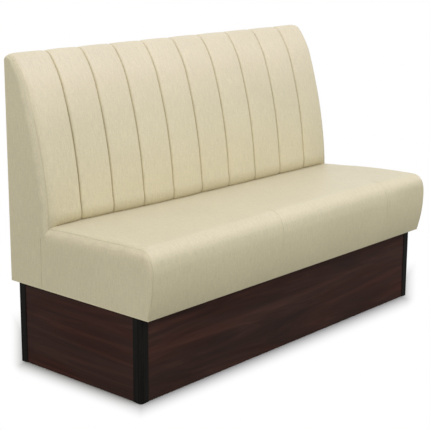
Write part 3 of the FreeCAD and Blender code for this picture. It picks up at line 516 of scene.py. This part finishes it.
def seat_cushion():
    """The seat as a closed form, from rings along the bench and an end face at each end.
    Gives also the lines of its stitches."""
    turns = np.radians(np.concatenate([np.linspace(0, 22, 5), np.linspace(24, 63, 40),
                                       np.linspace(67, 90, 5)]))
    joins = [place + step for place in SEAT_JOINS for step in np.linspace(-0.004, 0.004, 11)]
    flat = np.concatenate([np.linspace(-1, 1, 241)[1:-1], np.array(joins) / END])
    stations = [(-1, turn) for turn in turns[::-1]]
    stations += [(place, 0.0) for place in np.unique(np.round(flat, 6))]
    stations += [(1, turn) for turn in turns]
    rings, edges = [], []
    for place, turn in stations:
        power = 2 + (NOSE_POWER - 2) * float(smooth((place * END - 0.50) / 0.20))
        sides = seat_ring(turn, float(seat_crown(place * END)),
                          END_ROLL if place < 0 else RIGHT_ROLL, power)
        y, z, radius = np.array([point for side in sides for point in side]).T
        rings.append(np.stack([place * (END - radius * (1 - math.sin(turn))), y, z], 1))
        edges.append(radius)
    counts = [len(side) for side in sides]
    upper = counts[0] + counts[1]
    shell = np.array(rings)
    x, y, z = np.moveaxis(shell, 2, 0)
    z += (rear_fill(x, y) - right_ease(x, y)) * smooth((z - PLINTH_TOP) / 0.15)
    shell = np.concatenate([shell, shell[:, :1]], 1)
    radii = np.array(edges)
    radii = np.concatenate([radii, radii[:, :1]], 1)
    outward = surface_normals(shell, shell[:, :-1].mean(1, keepdims=True))
    uv = np.stack([shell[:, :, 0], [run_length(ring) for ring in shell]], 2)

    # Seams along the ends and across the nose, and the stuffing's unevenness between them
    x, y, z = np.moveaxis(shell, 2, 0)
    turned = np.array([turn for _, turn in stations])[:, None]
    away = (turned - seam_turn(y, z)) * radii
    ring_index = np.arange(shell.shape[1])
    is_upper = ring_index < upper
    seam = bell(away, SEAM_WIDTH) * (turned > 0)
    shown_seam = seam * np.clip((upper - 4 - ring_index) / 6, 0, 1)
    nose = smooth((-0.245 - y) / 0.05) * smooth((z - 0.36) / 0.10)
    plump = 0.0007 * waves(x, y + z, 4) * smooth((z - PLINTH_TOP) / 0.03)
    plump = plump * smooth((0.12 - y) / 0.05) - SEAM_DIP * near_join(x) * nose

    # The ends beyond their seams
    curves = []
    end_highlight = np.zeros(away.shape)
    for rows in (np.arange(len(turns)), np.arange(len(shell) - len(turns), len(shell))):
        nearest = rows[np.abs(away[rows]).argmin(0)]
        at_seam = shell[nearest, ring_index][2:upper - 2]
        curves.append((at_seam[:, 1:], END - np.abs(at_seam[:, 0])))
        fall, light = end_fall(shell[rows, :, 1:], *curves[-1])
        # Painted highlight below the seam on the end's rounded edge
        end_highlight[rows] = light * (turned[rows] > 0)
        beyond = (away[rows] > 0) * before_back(y[rows]) * is_upper
        x[rows] += (np.sign(x[rows]) * (END - fall) - x[rows]) * beyond
    shell = shell + outward * (plump - SEAM_DIP * shown_seam)[:, :, None]

    # The hollow inside the hem below, and the cloth's painted shade and painted highlights
    x, y, z = np.moveaxis(shell, 2, 0)
    inside = (np.abs(x) < END - HEM) & (y > UNDER_FRONT) & (y < UNDER_REAR)
    z += UNDER_RISE * (inside & (z < PLINTH_TOP + 0.001))
    # Painted shade along the crease, and in the seams at the ends and the joins across the nose
    crease = CREASE_SHADE * np.exp(-np.abs(y - PATH[0, 0]) / 0.02) * (z > 0.47)
    painted_shading = np.maximum(END_SEAM_SHADE * shown_seam, crease)
    painted_shading = np.maximum(painted_shading, JOIN_SHADE * near_join(x) * nose)
    # A painted highlight along the nose's upper turn, and a line of painted shade below it.
    height = z - seat_crown(x)
    nose_shading = 0.42 * bell(height - 0.494, 0.012) - 0.08 * bell(height - 0.462, 0.014)
    painted_shading = painted_shading - nose_shading * smooth((-0.20 - y) / 0.06)
    # Painted highlight below the end seams
    painted_shading = painted_shading - end_highlight * smooth(away / 0.004 + 0.2) * (1 - seam) * is_upper
    patches = [patch(shell, uv, painted_shading)]
    for row, curve in zip((0, -1), curves):
        points = end_face(shell[row, :-1], counts)
        fall, light = end_fall(points[:, :, 1:], *curve)
        eased = smooth((points[:, :, 2] - PLINTH_TOP) / 0.02) * before_back(points[:, :, 1])
        eased[[0, -1]] = 0
        eased[:, [0, -1]] = 0
        points[:, :, 0] += (np.sign(points[:, :, 0]) * (END - fall) - points[:, :, 0]) * eased
        # The end faces carry the painted highlight below their seams
        patches.append(patch(points, points[:, :, 1:], -light))
    return build("seat_cushion", patches), seat_lines(shell, outward, turned[:, 0], radii, counts)


def seat_lines(shell, outward, turned, radii, counts):
    """Where the stitches run: beside the seam of each end, and across the nose at the joins."""
    lines = []
    beside_end, beside_join = 0.0034, 0.0035
    half = len(turned) // 2
    for stations in (np.arange(half), np.arange(half, len(turned))):
        chosen = stations[turned[stations] > 0]
        for offset in (-beside_end, beside_end):
            line = []
            for ring in range(4, counts[0] + counts[1] - 16):
                target = seam_turn(*shell[chosen, ring, 1:].T) + offset / radii[chosen, ring]
                station = chosen[np.abs(turned[chosen] - target).argmin()]
                line.append(np.concatenate([shell[station, ring], outward[station, ring]]))
            lines.append(np.array(line))
    # Across the nose, from the front's lower half to just behind the nose's last point
    nose_end = counts[0] + 15
    span = slice(18, nose_end + 6)
    for place in SEAT_JOINS:
        for offset in (-beside_join, beside_join):
            station = np.abs(shell[:, nose_end, 0] - place - offset).argmin()
            lines.append(np.concatenate([shell[station, span], outward[station, span]], 1))
    return lines


def end_face(ring, counts):
    """A grid across the seat's end, filled in from the four sides of its outline."""
    front, top, rear, base = np.split(ring, np.cumsum(counts)[:-1])
    sides = (np.concatenate([base[-1:], front]), np.concatenate([front[-1:], top]),
             np.concatenate([top[-1:], rear])[::-1], np.concatenate([rear[-1:], base])[::-1])
    count = 40
    left, upper, right, lower = [resampled(side, count) for side in sides]
    u = np.linspace(0, 1, count)[:, None, None]
    w = np.linspace(0, 1, count)[None, :, None]
    grid = (1 - u) * left[None] + u * right[None] + (1 - w) * lower[:, None] + w * upper[:, None]
    grid -= ((1 - u) * (1 - w) * left[0] + (1 - u) * w * left[-1]
             + u * (1 - w) * right[0] + u * w * right[-1])
    return grid


def resampled(line, count):
    """As many points of a line as asked for, spaced evenly by number."""
    steps = np.linspace(0, len(line) - 1, count)
    low = np.floor(steps).astype(int).clip(0, len(line) - 2)
    share = (steps - low)[:, None]
    return line[low] * (1 - share) + line[low + 1] * share


# Back: the profile of the CAD's three tangent arcs, followed from the crease to the rear edge.


def toward(turn):
    """The way from an arc's centre to its point at a turn, in Y and Z."""
    return np.array([-math.cos(turn), math.sin(turn)])


BACK_FOOT, CREASE = 0.446, 0.4895
REAR_EDGE, TOP_STRIP = 0.010, 0.004
SHOULDER_TURN, ROLL_TURN = math.radians(20), math.radians(41)
ROLL_RADIUS, SHOULDER_RADIUS, SWEEP_RADIUS = 0.048, 0.340, 1.470
ROLL_CENTRE = np.array([REAR - REAR_EDGE - TOP_STRIP, HEIGHT - ROLL_RADIUS])
SHOULDER_CENTRE = ROLL_CENTRE + toward(ROLL_TURN) * (ROLL_RADIUS - SHOULDER_RADIUS)
SWEEP_CENTRE = SHOULDER_CENTRE + toward(SHOULDER_TURN) * (SHOULDER_RADIUS - SWEEP_RADIUS)
FOOT_TURN = math.asin((BACK_FOOT - SWEEP_CENTRE[1]) / SWEEP_RADIUS)
CREASE_TURN = math.asin((CREASE - SWEEP_CENTRE[1]) / SWEEP_RADIUS)
SWEEP_STEPS, SHOULDER_STEPS, ROLL_STEPS = 74, 26, 16
ROLL_END_INDEX = SWEEP_STEPS + SHOULDER_STEPS + ROLL_STEPS
SKIRT_FOOT = HEIGHT - CHANNEL_PAD
# The share of a draw-in that is kept at the foot, mid sweep, shoulder, and so on to the rear edge.
FADES = (0.7, 1, 1, 0.85, 0.7, 0.5, 0.4, 0.35)


def back_path():
    """The visible profile from the crease: points, ways inward, and the draw-in's share at each."""
    points, ways, shares = [], [], []
    arcs = ((SWEEP_CENTRE, SWEEP_RADIUS, FOOT_TURN, CREASE_TURN, SHOULDER_TURN, SWEEP_STEPS),
            (SHOULDER_CENTRE, SHOULDER_RADIUS, SHOULDER_TURN, SHOULDER_TURN, ROLL_TURN,
             SHOULDER_STEPS),
            (ROLL_CENTRE, ROLL_RADIUS, ROLL_TURN, ROLL_TURN, math.pi / 2, ROLL_STEPS))
    # Every arc's shares are spread over its whole run, of which the sweep's start is hidden.
    for order, (centre, radius, whole_start, start, stop, steps) in enumerate(arcs):
        for turn in np.linspace(start, stop, steps + 1)[min(order, 1):]:
            part = 2 * (turn - whole_start) / (stop - whole_start)
            shares.append(np.interp(part, (0, 1, 2), FADES[2 * order:2 * order + 3]))
            points.append(centre + toward(turn) * radius)
            ways.append(-toward(turn))
    strip_end = np.array([REAR - REAR_EDGE, HEIGHT])
    beyond = [(points[-1] + strip_end) / 2, strip_end]
    beyond += [strip_end + REAR_EDGE * np.array([math.sin(turn), math.cos(turn) - 1])
               for turn in np.linspace(0, math.pi / 2, 9)[1:]]
    shares += [FADES[-1]] * len(beyond)
    for level in np.linspace(HEIGHT - REAR_EDGE, SKIRT_FOOT, 8)[1:]:
        beyond.append(np.array([REAR, level]))
        shares.append(FADES[-1] * (level - SKIRT_FOOT) / (HEIGHT - REAR_EDGE - SKIRT_FOOT))
    ways += [np.array([0.0, -1.0])] * len(beyond)
    return np.array(points + beyond), np.array(ways), np.array(shares)


PATH, INWARD, SHARES = back_path()
PATH_LENGTH = run_length(PATH)
LEAN_SHARES = SHARES * (1 - 0.85 * smooth((PATH[:, 1] - SHOULDER_LEVEL) / 0.22))
# How much of the foot's settling on the seat is left at each point
SETTLING = 1 - smooth(PATH_LENGTH / 0.10)


def inner_path():
    """The channels' rear side: along the skin, round the top rail and out to the rear edge."""
    inner = PATH + INWARD * CHANNEL_PAD
    rear_run = np.linspace(0, 1, len(PATH) - ROLL_END_INDEX)
    inner[ROLL_END_INDEX:] = np.stack([ROLL_CENTRE[0] + (REAR - ROLL_CENTRE[0]) * rear_run,
                                       np.full(len(rear_run), SKIRT_FOOT)], 1)
    return inner


def foot_level(x, y):
    """The level of the back's foot on the seat, let down a little into the rolled ends."""
    return seat_level(x, y) + PLAY - 0.0045 * (1 - smooth((END - np.abs(x)) / 0.045))


def channel_draw(places):
    """How deep the crown of a channel lies at places from -1 to 1 across it."""
    away = (1 - np.abs(places)) * CHANNEL_WIDTH / 2
    crown = CROWN_DEPTH * (1 - np.sqrt(np.clip(1 - np.abs(places) ** 3.0, 0, 1)))
    return crown + GROOVE_DEPTH * np.exp(-away / GROOVE_WIDTH)


def end_lean(x):
    """The soft fall of the end channels towards the ends of the back."""
    return 0.0055 * (1 - np.clip((END - np.abs(x)) / 0.095, 0, 1)) ** 2


def foot_curl(length, x):
    """How far the back's face turns in where it sits down into the seat, less so at the ends."""
    share = smooth((END - np.abs(x)) / 0.07)
    return (rolled(length, 0.022) * 0.34 - 0.0025 * bell(length - 0.034, 0.022)) * share


def seam_run(x, z):
    """How far the sewn seams run aside of even spacing, at a height: none at the end panels."""
    bow = -0.0075 + 0.011 * ((x - 0.03) / 0.639) ** 2
    climb = 0.012 * ((z - SEAT_TOP) / (HEIGHT - SEAT_TOP) - 0.5)
    return (bow + climb) * (1 - smooth((np.abs(x) - 0.61) / 0.14))


def shoulder_highlight_share(z):
    """The painted highlight over the back's shoulder, up to its top."""
    return SHOULDER_HIGHLIGHT * smooth((z - SHOULDER_LEVEL) / 0.20)


def back_channel(number):
    """One sewn channel: a stuffed tube from seam to seam, turned in where it meets the seat."""
    left = -END + number * CHANNEL_WIDTH + SEAM_GAP
    right = left + CHANNEL_WIDTH - 2 * SEAM_GAP
    centre = (left + right) / 2
    columns, seam_shade = 61, 0.0026
    side = {0: -1, CHANNELS - 1: 1}.get(number)
    if side is None:
        steps = np.linspace(-1, 1, columns)
        places = np.sign(steps) * (1 - (1 - np.abs(steps)) ** 1.7)
        x = centre + places * (right - left) / 2
        draw = channel_draw(places)
        in_seam = bell(np.minimum(x - left, right - x), seam_shade)
    else:
        # An end channel rolls round the end of the back to the seam at its panel.
        inner, outer = END - CHANNEL_WIDTH + SEAM_GAP, PANEL_FACE - SEAM_GAP
        x = np.linspace(side * inner, side * outer, columns)
        from_inner, beside = np.abs(x) - inner, np.abs(x) - outer
        draw = channel_draw(np.clip(1 - from_inner / (CHANNEL_WIDTH / 2), 0, 1))
        draw = draw + rolled(END - np.abs(x), BACK_ROLLS[side])
        draw = draw + SEAM_DIP * bell(beside, PANEL_SEAM_WIDTH)
        # The cloth is painted lighter along the panel's seam, with a line of painted shade beside
        # it.
        in_seam = bell(from_inner, seam_shade) + 0.5 * bell(beside + 0.0048, 0.002)
        in_seam = in_seam - 0.9 * bell(beside, 0.0022)

    # Puckers beside the seams, fullness between them, and the lean of the ends
    length = PATH_LENGTH[:, None]
    near = bell(np.minimum(np.abs(x - x[0]), np.abs(x - x[-1])), 0.012)
    pucker = 0.0005 * np.sin(length * 2 * math.pi / 0.021 + number) * near
    fullness = 0.0008 * waves(x * 0.6, length, 20 + number) * (1 - near)
    fade = smooth(length / 0.06) * smooth((PATH_LENGTH[-1] - length) / 0.08)
    inset = draw * SHARES[:, None] + foot_curl(length, x) + (pucker - fullness) * fade
    if side is not None:
        inset = inset + LEAN_SHARES[:, None] * end_lean(x)
    along, run = np.broadcast_arrays(x, length)
    skins = []
    for path, depth in ((PATH, inset), (inner_path(), 0 * inset)):
        face = path[:, None] + INWARD[:, None] * depth[:, :, None]
        face[:, :, 1] += (foot_level(x, path[0, 0]) - path[0, 1]) * SETTLING[:, None]
        skins.append(np.concatenate([along[:, :, None], face], 2))
    outer_skin, inner_skin = skins

    # Painted shade in the seams, darkest in the first ones from the left, and along the foot at the
    # crease; painted highlight over the shoulder
    seam_number = np.clip(number + (x > centre), 1, CHANNELS - 1)
    shade = np.interp(seam_number, *CHANNEL_SEAM_SHADE)
    shoulder_light = shoulder_highlight_share(outer_skin[:, :, 2]) * (1 - 0.7 * np.clip(in_seam, 0, 1))
    painted_shading = np.maximum(shade * in_seam, FOOT_SHADE * np.exp(-length / 0.039)) - shoulder_light
    for skin in skins:
        skin[:, :, 0] += seam_run(skin[:, :, 0], outer_skin[:, :, 2])
    skin_uv = np.stack([along, run], 2)
    patches = [patch(outer_skin, skin_uv, painted_shading), patch(inner_skin, skin_uv)]
    wall_uv = np.stack(np.broadcast_arrays([0, 0.019, 0.038], length), 2)
    for column in (0, -1):
        wall = between(outer_skin[:, column], inner_skin[:, column], 3)
        patches.append(patch(wall.swapaxes(0, 1), wall_uv))
    for row in (0, -1):
        cap = between(outer_skin[row], inner_skin[row], 5)
        if row == 0:
            cap[:, :, 2] = np.maximum(cap[:, :, 2], foot_level(cap[:, :, 0], cap[:, :, 1]))
        patches.append(patch(cap, cap[:, :, :2]))
    return build("back_channel_pad_%02d" % (number + 1), patches, sharp=60)


def end_profile(side, x, draw):
    """The back's profile near an end, x from the middle and drawn in, and its crease's level."""
    face = PATH + INWARD * (draw * SHARES + float(end_lean(x)) * LEAN_SHARES)[:, None]
    crease = float(foot_level(np.array(side * x), face[0, 0]))
    face[:, 1] += (crease - PATH[0, 1]) * SETTLING
    return face + INWARD * foot_curl(PATH_LENGTH, x)[:, None], crease


def end_panel(side):
    """The padded panel on an end of the back, from the plinth to the top, round its front edge."""
    roll = BACK_ROLLS[side]
    first, last = math.asin((PANEL_FACE + SEAM_GAP - (END - roll)) / roll), math.pi / 2
    count, ledge_drop, foot_edge = 26, 0.004, 0.0008
    ledge = np.linspace(0, 1, 8)[1:-1, None]
    front_lines, rear_lines = [], []
    for turn in np.linspace(first, last, 13):
        x = END - roll + roll * math.sin(turn)
        draw = 1 - math.cos(turn)
        dip = SEAM_DIP * bell(x - PANEL_FACE, PANEL_SEAM_WIDTH)
        face, crease = end_profile(side, x, roll * draw + dip)
        # Straight up behind the seat, over a short ledge on it, and then along the back's face
        lower = np.stack([np.full(count, BACK_FRONT + foot_edge * draw),
                          np.linspace(PLINTH_TOP, crease - ledge_drop, count)], 1)
        line = np.concatenate([lower, lower[-1] * (1 - ledge) + face[0] * ledge, face])
        front_lines.append(np.insert(line, 0, side * x, 1))
        rear = np.full((len(line), 3), REAR)
        rear[:, 0] = side * np.interp(turn, (first, last), (PANEL_REAR, END))
        rear[:, 2] = np.linspace(PLINTH_TOP, SKIRT_FOOT, len(line))
        rear_lines.append(rear)
    front, rear = np.array(front_lines), np.array(rear_lines)
    run = np.broadcast_to(run_length(front[0]), front.shape[:2])
    patches = [patch(front, np.stack([front[:, :, 0], run], 2)), patch(rear, rear[:, :, [0, 2]])]
    for row in (0, -1):
        wall = between(front[row], rear[row], count)
        patches.append(patch(wall, wall[:, :, 1:]))
    for column in (0, -1):
        wall = between(front[:, column], rear[:, column], count)
        patches.append(patch(wall, wall[:, :, :2]))
    return build("back_panel_pad_left" if side < 0 else "back_panel_pad_right", patches)


def sheet_piece(name, low, high, level, axis):
    """A single sheet of cloth with slight slack, held flat round its edges."""
    u = np.linspace(low[0], high[0], 90)
    w = np.linspace(low[1], high[1], 46)
    a, b = np.meshgrid(u, w, indexing="ij")
    held = smooth((a - low[0]) / 0.06) * smooth((high[0] - a) / 0.06)
    held = held * smooth((b - low[1]) / 0.06) * smooth((high[1] - b) / 0.06)
    slack = level + 0.00035 * waves(a, b, 77) * held
    points = np.stack([a, slack, b] if axis == "y" else [a, b, slack], 2)
    return build(name, [patch(points, np.stack([a, b], 2))])


def stitches(name, lines, radius=0.00034):
    """Thread stitches along lines of points and outward normals, half sunk in the cloth."""
    spacing, length, sides = 0.0058, 0.0036, 6
    # Rings of a stitch: how far along its half length, and the share of its radius
    rings = ((-1, 0.25), (-0.7, 0.8), (0, 1), (0.7, 0.8), (1, 0.25))
    last_ring = sides * (len(rings) - 1)
    turns = np.linspace(0, 2 * math.pi, sides, endpoint=False)
    verts, faces = [], []
    for line in lines:
        steps = run_length(line[:, :3])
        for place in np.arange(spacing, steps[-1] - spacing, spacing):
            middle, ahead = (np.array([np.interp(at, steps, column) for column in line.T])
                             for at in (place, place + 0.001))
            along = ahead[:3] - middle[:3]
            along /= np.linalg.norm(along)
            up = middle[3:] / np.linalg.norm(middle[3:])
            side = np.cross(along, up)
            start = len(verts)
            for way, size in rings:
                lift = radius * (0.7 - 0.9 * abs(way))
                centre = middle[:3] + along * way * length / 2 + up * lift
                verts.extend(centre + radius * size * (side * math.cos(turn) + up * math.sin(turn))
                             for turn in turns)
            for low in range(start, start + last_ring, sides):
                for k in range(sides):
                    next_k = (k + 1) % sides
                    faces.append((low + k, low + next_k, low + sides + next_k, low + sides + k))
            faces.append(tuple(start + k for k in reversed(range(sides))))
            faces.append(tuple(start + last_ring + k for k in range(sides)))
    mesh = bpy.data.meshes.new(name)
    mesh.from_pydata([tuple(v) for v in verts], [], faces)
    mesh.shade_smooth()
    return finish_piece(placed(name, mesh), thread)


def back_line(side, offset):
    """A line beside the seam that joins an end channel to its panel, with outward normals."""
    x = PANEL_FACE + offset
    roll = BACK_ROLLS[side]
    turn = math.asin(min(1.0, (x - END + roll) / roll))
    face, _ = end_profile(side, x, roll * (1 - math.cos(turn)))
    shown = slice(3, ROLL_END_INDEX + 4)
    points = np.insert(face[shown], 0, side * x, 1)
    normals = np.insert(-INWARD[shown] * math.cos(turn), 0, side * math.sin(turn), 1)
    return np.concatenate([points, normals], 1)


seat, seat_stitch_lines = seat_cushion()
seat = finish_piece(seat, cream,
                    ("seat_cover", "seat_foam", "seat_front_pad", "seat_left_pad",
                     "seat_right_pad"))
for number in range(CHANNELS):
    pad = finish_piece(back_channel(number), cream,
                       ("back_channel_%02d" % (number + 1),))
for side, label in ((-1, "back_left_panel"), (1, "back_right_panel")):
    panel = finish_piece(end_panel(side), cream, (label,))

stitches("seat_stitches", seat_stitch_lines)
stitches("back_stitches",
         [back_line(side, offset) for side in (-1, 1) for offset in (-0.0040, 0.0028)],
         radius=0.0005)

rear_cover = sheet_piece("back_rear_cloth", (-0.7497, PLINTH_TOP), (0.7497, 1.0117), 0.3354, "y")
finish_piece(rear_cover, cream, ("back_rear_cover",))
dust_cover = sheet_piece("seat_dust_cloth", (-0.734, -0.285), (0.734, 0.153),
                         PLINTH_TOP + 0.0009, "z")
finish_piece(dust_cover, black_cloth, ("seat_dust_cover",))


def material_for(label):
    """The material of a piece that is shown as the CAD's own solid."""
    if label.startswith("plinth_") and "cleat" not in label and "divider" not in label:
        return laminate_y if label in ("plinth_left_board", "plinth_right_board") else laminate_x
    if label.startswith("corner_post"):
        return profile
    if label in ("corner_feet", "divider_glides"):
        return plastic
    if label.startswith("unit_"):
        return zinc
    if label == "seat_webbing":
        return web_cloth
    if label.startswith(("seat_cross", "seat_left", "seat_right")) or "divider" in label:
        return pine_y
    if "rib" in label or "skin" in label:
        return plywood
    return pine_x


for label, node in nodes.items():
    if not node.hide_render:
        node.data.materials.clear()
        node.data.materials.append(material_for(label))


# Camera, floor and light. The camera is the one fitted to the photograph, FRAME pixels wide.

AZIMUTH, ELEVATION, ROLL = math.radians(-49.29), math.radians(13.47), math.radians(0.48)
DISTANCE = 4.4098
LENS, SENSOR, FRAME = 101.10, 36, 430
TARGET = Vector((0, 0.014, 0.4704))
SHIFT = (-15.65, -12.36)
COS_TURN, SIN_TURN = math.cos(AZIMUTH), math.sin(AZIMUTH)
COS_RISE, SIN_RISE = math.cos(ELEVATION), math.sin(ELEVATION)

back = Vector((SIN_TURN * COS_RISE, -COS_TURN * COS_RISE, SIN_RISE))
right = Vector((0, 0, 1)).cross(back).normalized()
up = back.cross(right)
turned_right = right * math.cos(ROLL) + up * math.sin(ROLL)
turned_up = up * math.cos(ROLL) - right * math.sin(ROLL)
camera_data = bpy.data.cameras.new("camera")
camera_data.sensor_width = SENSOR
camera_data.lens = LENS
camera_data.shift_x, camera_data.shift_y = (pixels / FRAME for pixels in SHIFT)
camera = placed("camera", camera_data)
axes = Matrix((turned_right, turned_up, back)).transposed().to_4x4()
camera.matrix_world = Matrix.Translation(TARGET + back * DISTANCE) @ axes
bpy.context.scene.camera = camera
bpy.context.scene.view_settings.view_transform = "Standard"

# For a floor point across and near the target, the picture has it at LENS_PIXELS * across / away to
# the right and LENS_PIXELS * (TARGET.z * COS_RISE + near * SIN_RISE) / away below, where
# away = AWAY - near * COS_RISE. Both are in pixels.
LENS_PIXELS = LENS / SENSOR * FRAME
AWAY = DISTANCE + TARGET.z * SIN_RISE


def in_picture(x, y):
    """Where a floor point is in the picture: pixels right of the target and below it."""
    across = x * COS_TURN + (y - TARGET.y) * SIN_TURN
    near = x * SIN_TURN - (y - TARGET.y) * COS_TURN
    scale = LENS_PIXELS / (AWAY - near * COS_RISE)
    return across * scale, (TARGET.z * COS_RISE + near * SIN_RISE) * scale


def stage_material():
    """White paper floor. It keeps the shadow only in a narrow band along the plinth's foot, as in
    the photograph: below the line of the boards' feet in the picture, and beside the corners."""
    material = bpy.data.materials.new("white_floor")
    net = Nodes(material)
    maths, vector = net.maths, net.vector
    # In pixels: how far below the boards' feet the band's line lies, and where, measured from
    # that line, its shadow begins to fade and has gone
    margin, fade_start, fade_end = 4.5, -4.5, 12.0
    # In metres: how far behind the plinth the floor is wholly white
    clear_behind = 0.45
    place = net.node("ShaderNodeNewGeometry").outputs["Position"]
    seen = net.node("ShaderNodeLightPath").outputs["Is Camera Ray"]
    centred = vector("SUBTRACT", place, (0, TARGET.y, 0))
    across = vector("DOT_PRODUCT", centred, (COS_TURN, SIN_TURN, 0))
    near = vector("DOT_PRODUCT", centred, (SIN_TURN, -COS_TURN, 0))
    away = maths("MULTIPLY_ADD", near, -COS_RISE, AWAY)
    aside = maths("DIVIDE", maths("MULTIPLY", across, LENS_PIXELS), away)
    level = maths("DIVIDE", maths("MULTIPLY_ADD", near, LENS_PIXELS * SIN_RISE,
                                  LENS_PIXELS * TARGET.z * COS_RISE), away)
    corner_x, corner_level = in_picture(-PLINTH_END, PLINTH_FRONT)
    left_x, left_level = in_picture(-PLINTH_END, PLINTH_REAR)
    right_x, right_level = in_picture(PLINTH_END, PLINTH_FRONT)
    from_corner = maths("SUBTRACT", aside, corner_x)
    lines = [maths("MULTIPLY", from_corner, (end_level - corner_level) / (end_x - corner_x))
             for end_x, end_level in ((left_x, left_level), (right_x, right_level))]
    below = maths("SUBTRACT", level, maths("ADD", corner_level + margin, maths("MINIMUM", *lines)))
    beside = maths("MAXIMUM", maths("SUBTRACT", aside, right_x), maths("SUBTRACT", left_x, aside))
    squares = [maths("POWER", maths("MAXIMUM", value, 0.0), 2.0) for value in (below, beside)]
    reach = maths("ADD", maths("SQRT", maths("ADD", *squares)),
                  maths("MINIMUM", maths("MAXIMUM", below, beside), 0.0))
    lit = maths("SINE", net.span(reach, 0, math.pi / 2, fade_start, fade_end))
    over = vector("MAXIMUM", vector("SUBTRACT", place, (PLINTH_END, PLINTH_REAR, 0)), (0, 0, 0))
    behind = net.span(vector("LENGTH", over), 0, 1, 0, clear_behind,
                      interpolation_type="SMOOTHSTEP")
    paper = net.node("ShaderNodeBsdfDiffuse", {"Color": net.span(seen, 0.25, 0.56, 0, 1)})
    glow = net.node("ShaderNodeEmission", {"Strength": 1.0})
    net.show("ShaderNodeOutputMaterial", maths("MULTIPLY", seen, maths("MAXIMUM", lit, behind)),
             paper.outputs[0], glow.outputs[0])
    return material


floor_mesh = bpy.data.meshes.new("floor")
floor_mesh.from_pydata([(-9, -9, 0), (9, -9, 0), (9, 9, 0), (-9, 9, 0)], [], [(0, 1, 2, 3)])
floor = placed("floor", floor_mesh)
floor.data.materials.append(stage_material())

# The world is white where it is seen or mirrored, and a dimmer warm white where it only lights.
world = bpy.data.worlds.new("studio")
bpy.context.scene.world = world
studio = Nodes(world)
ambient = studio.node("ShaderNodeBackground", {"Color": (0.99, 1, 0.87, 1), "Strength": 0.71})
white = studio.node("ShaderNodeBackground", {"Color": (1, 1, 1, 1), "Strength": 1.0})
rays = studio.node("ShaderNodeLightPath").outputs
seen = studio.maths("MAXIMUM", rays["Is Camera Ray"], rays["Is Glossy Ray"])
studio.show("ShaderNodeOutputWorld", studio.maths("MAXIMUM", seen, rays["Is Transmission Ray"]),
            ambient.outputs[0], white.outputs[0])


def lamp(name, place, target, size, power, colour):
    """A soft lamp that faces its target."""
    data = bpy.data.lights.new(name, "AREA")
    data.shape = "RECTANGLE"
    data.size, data.size_y = size
    data.energy = power
    data.color = colour
    made = placed(name, data)
    made.location = place
    made.rotation_euler = (Vector(target) - Vector(place)).to_track_quat("-Z", "Y").to_euler()


lamp("lamp_above", (0.2, -0.9, 3.6), (0, 0, 0.3), (2.8, 1.6), 16, (0.2, 0.2, 1))
lamp("lamp_front", (0.4, -2.6, 2.9), (0, 0, 0.4), (2.4, 1.6), 31, (1, 0.98, 0.93))
lamp("lamp_left", (-4.0, -0.6, 1.8), (0, 0, 0.5), (2.0, 2.0), 28, (0.86, 0.83, 1))
lamp("lamp_right", (3.0, -1.8, 2.4), (0, 0, 0.5), (1.6, 1.6), 6, (0.6, 0.6, 1))
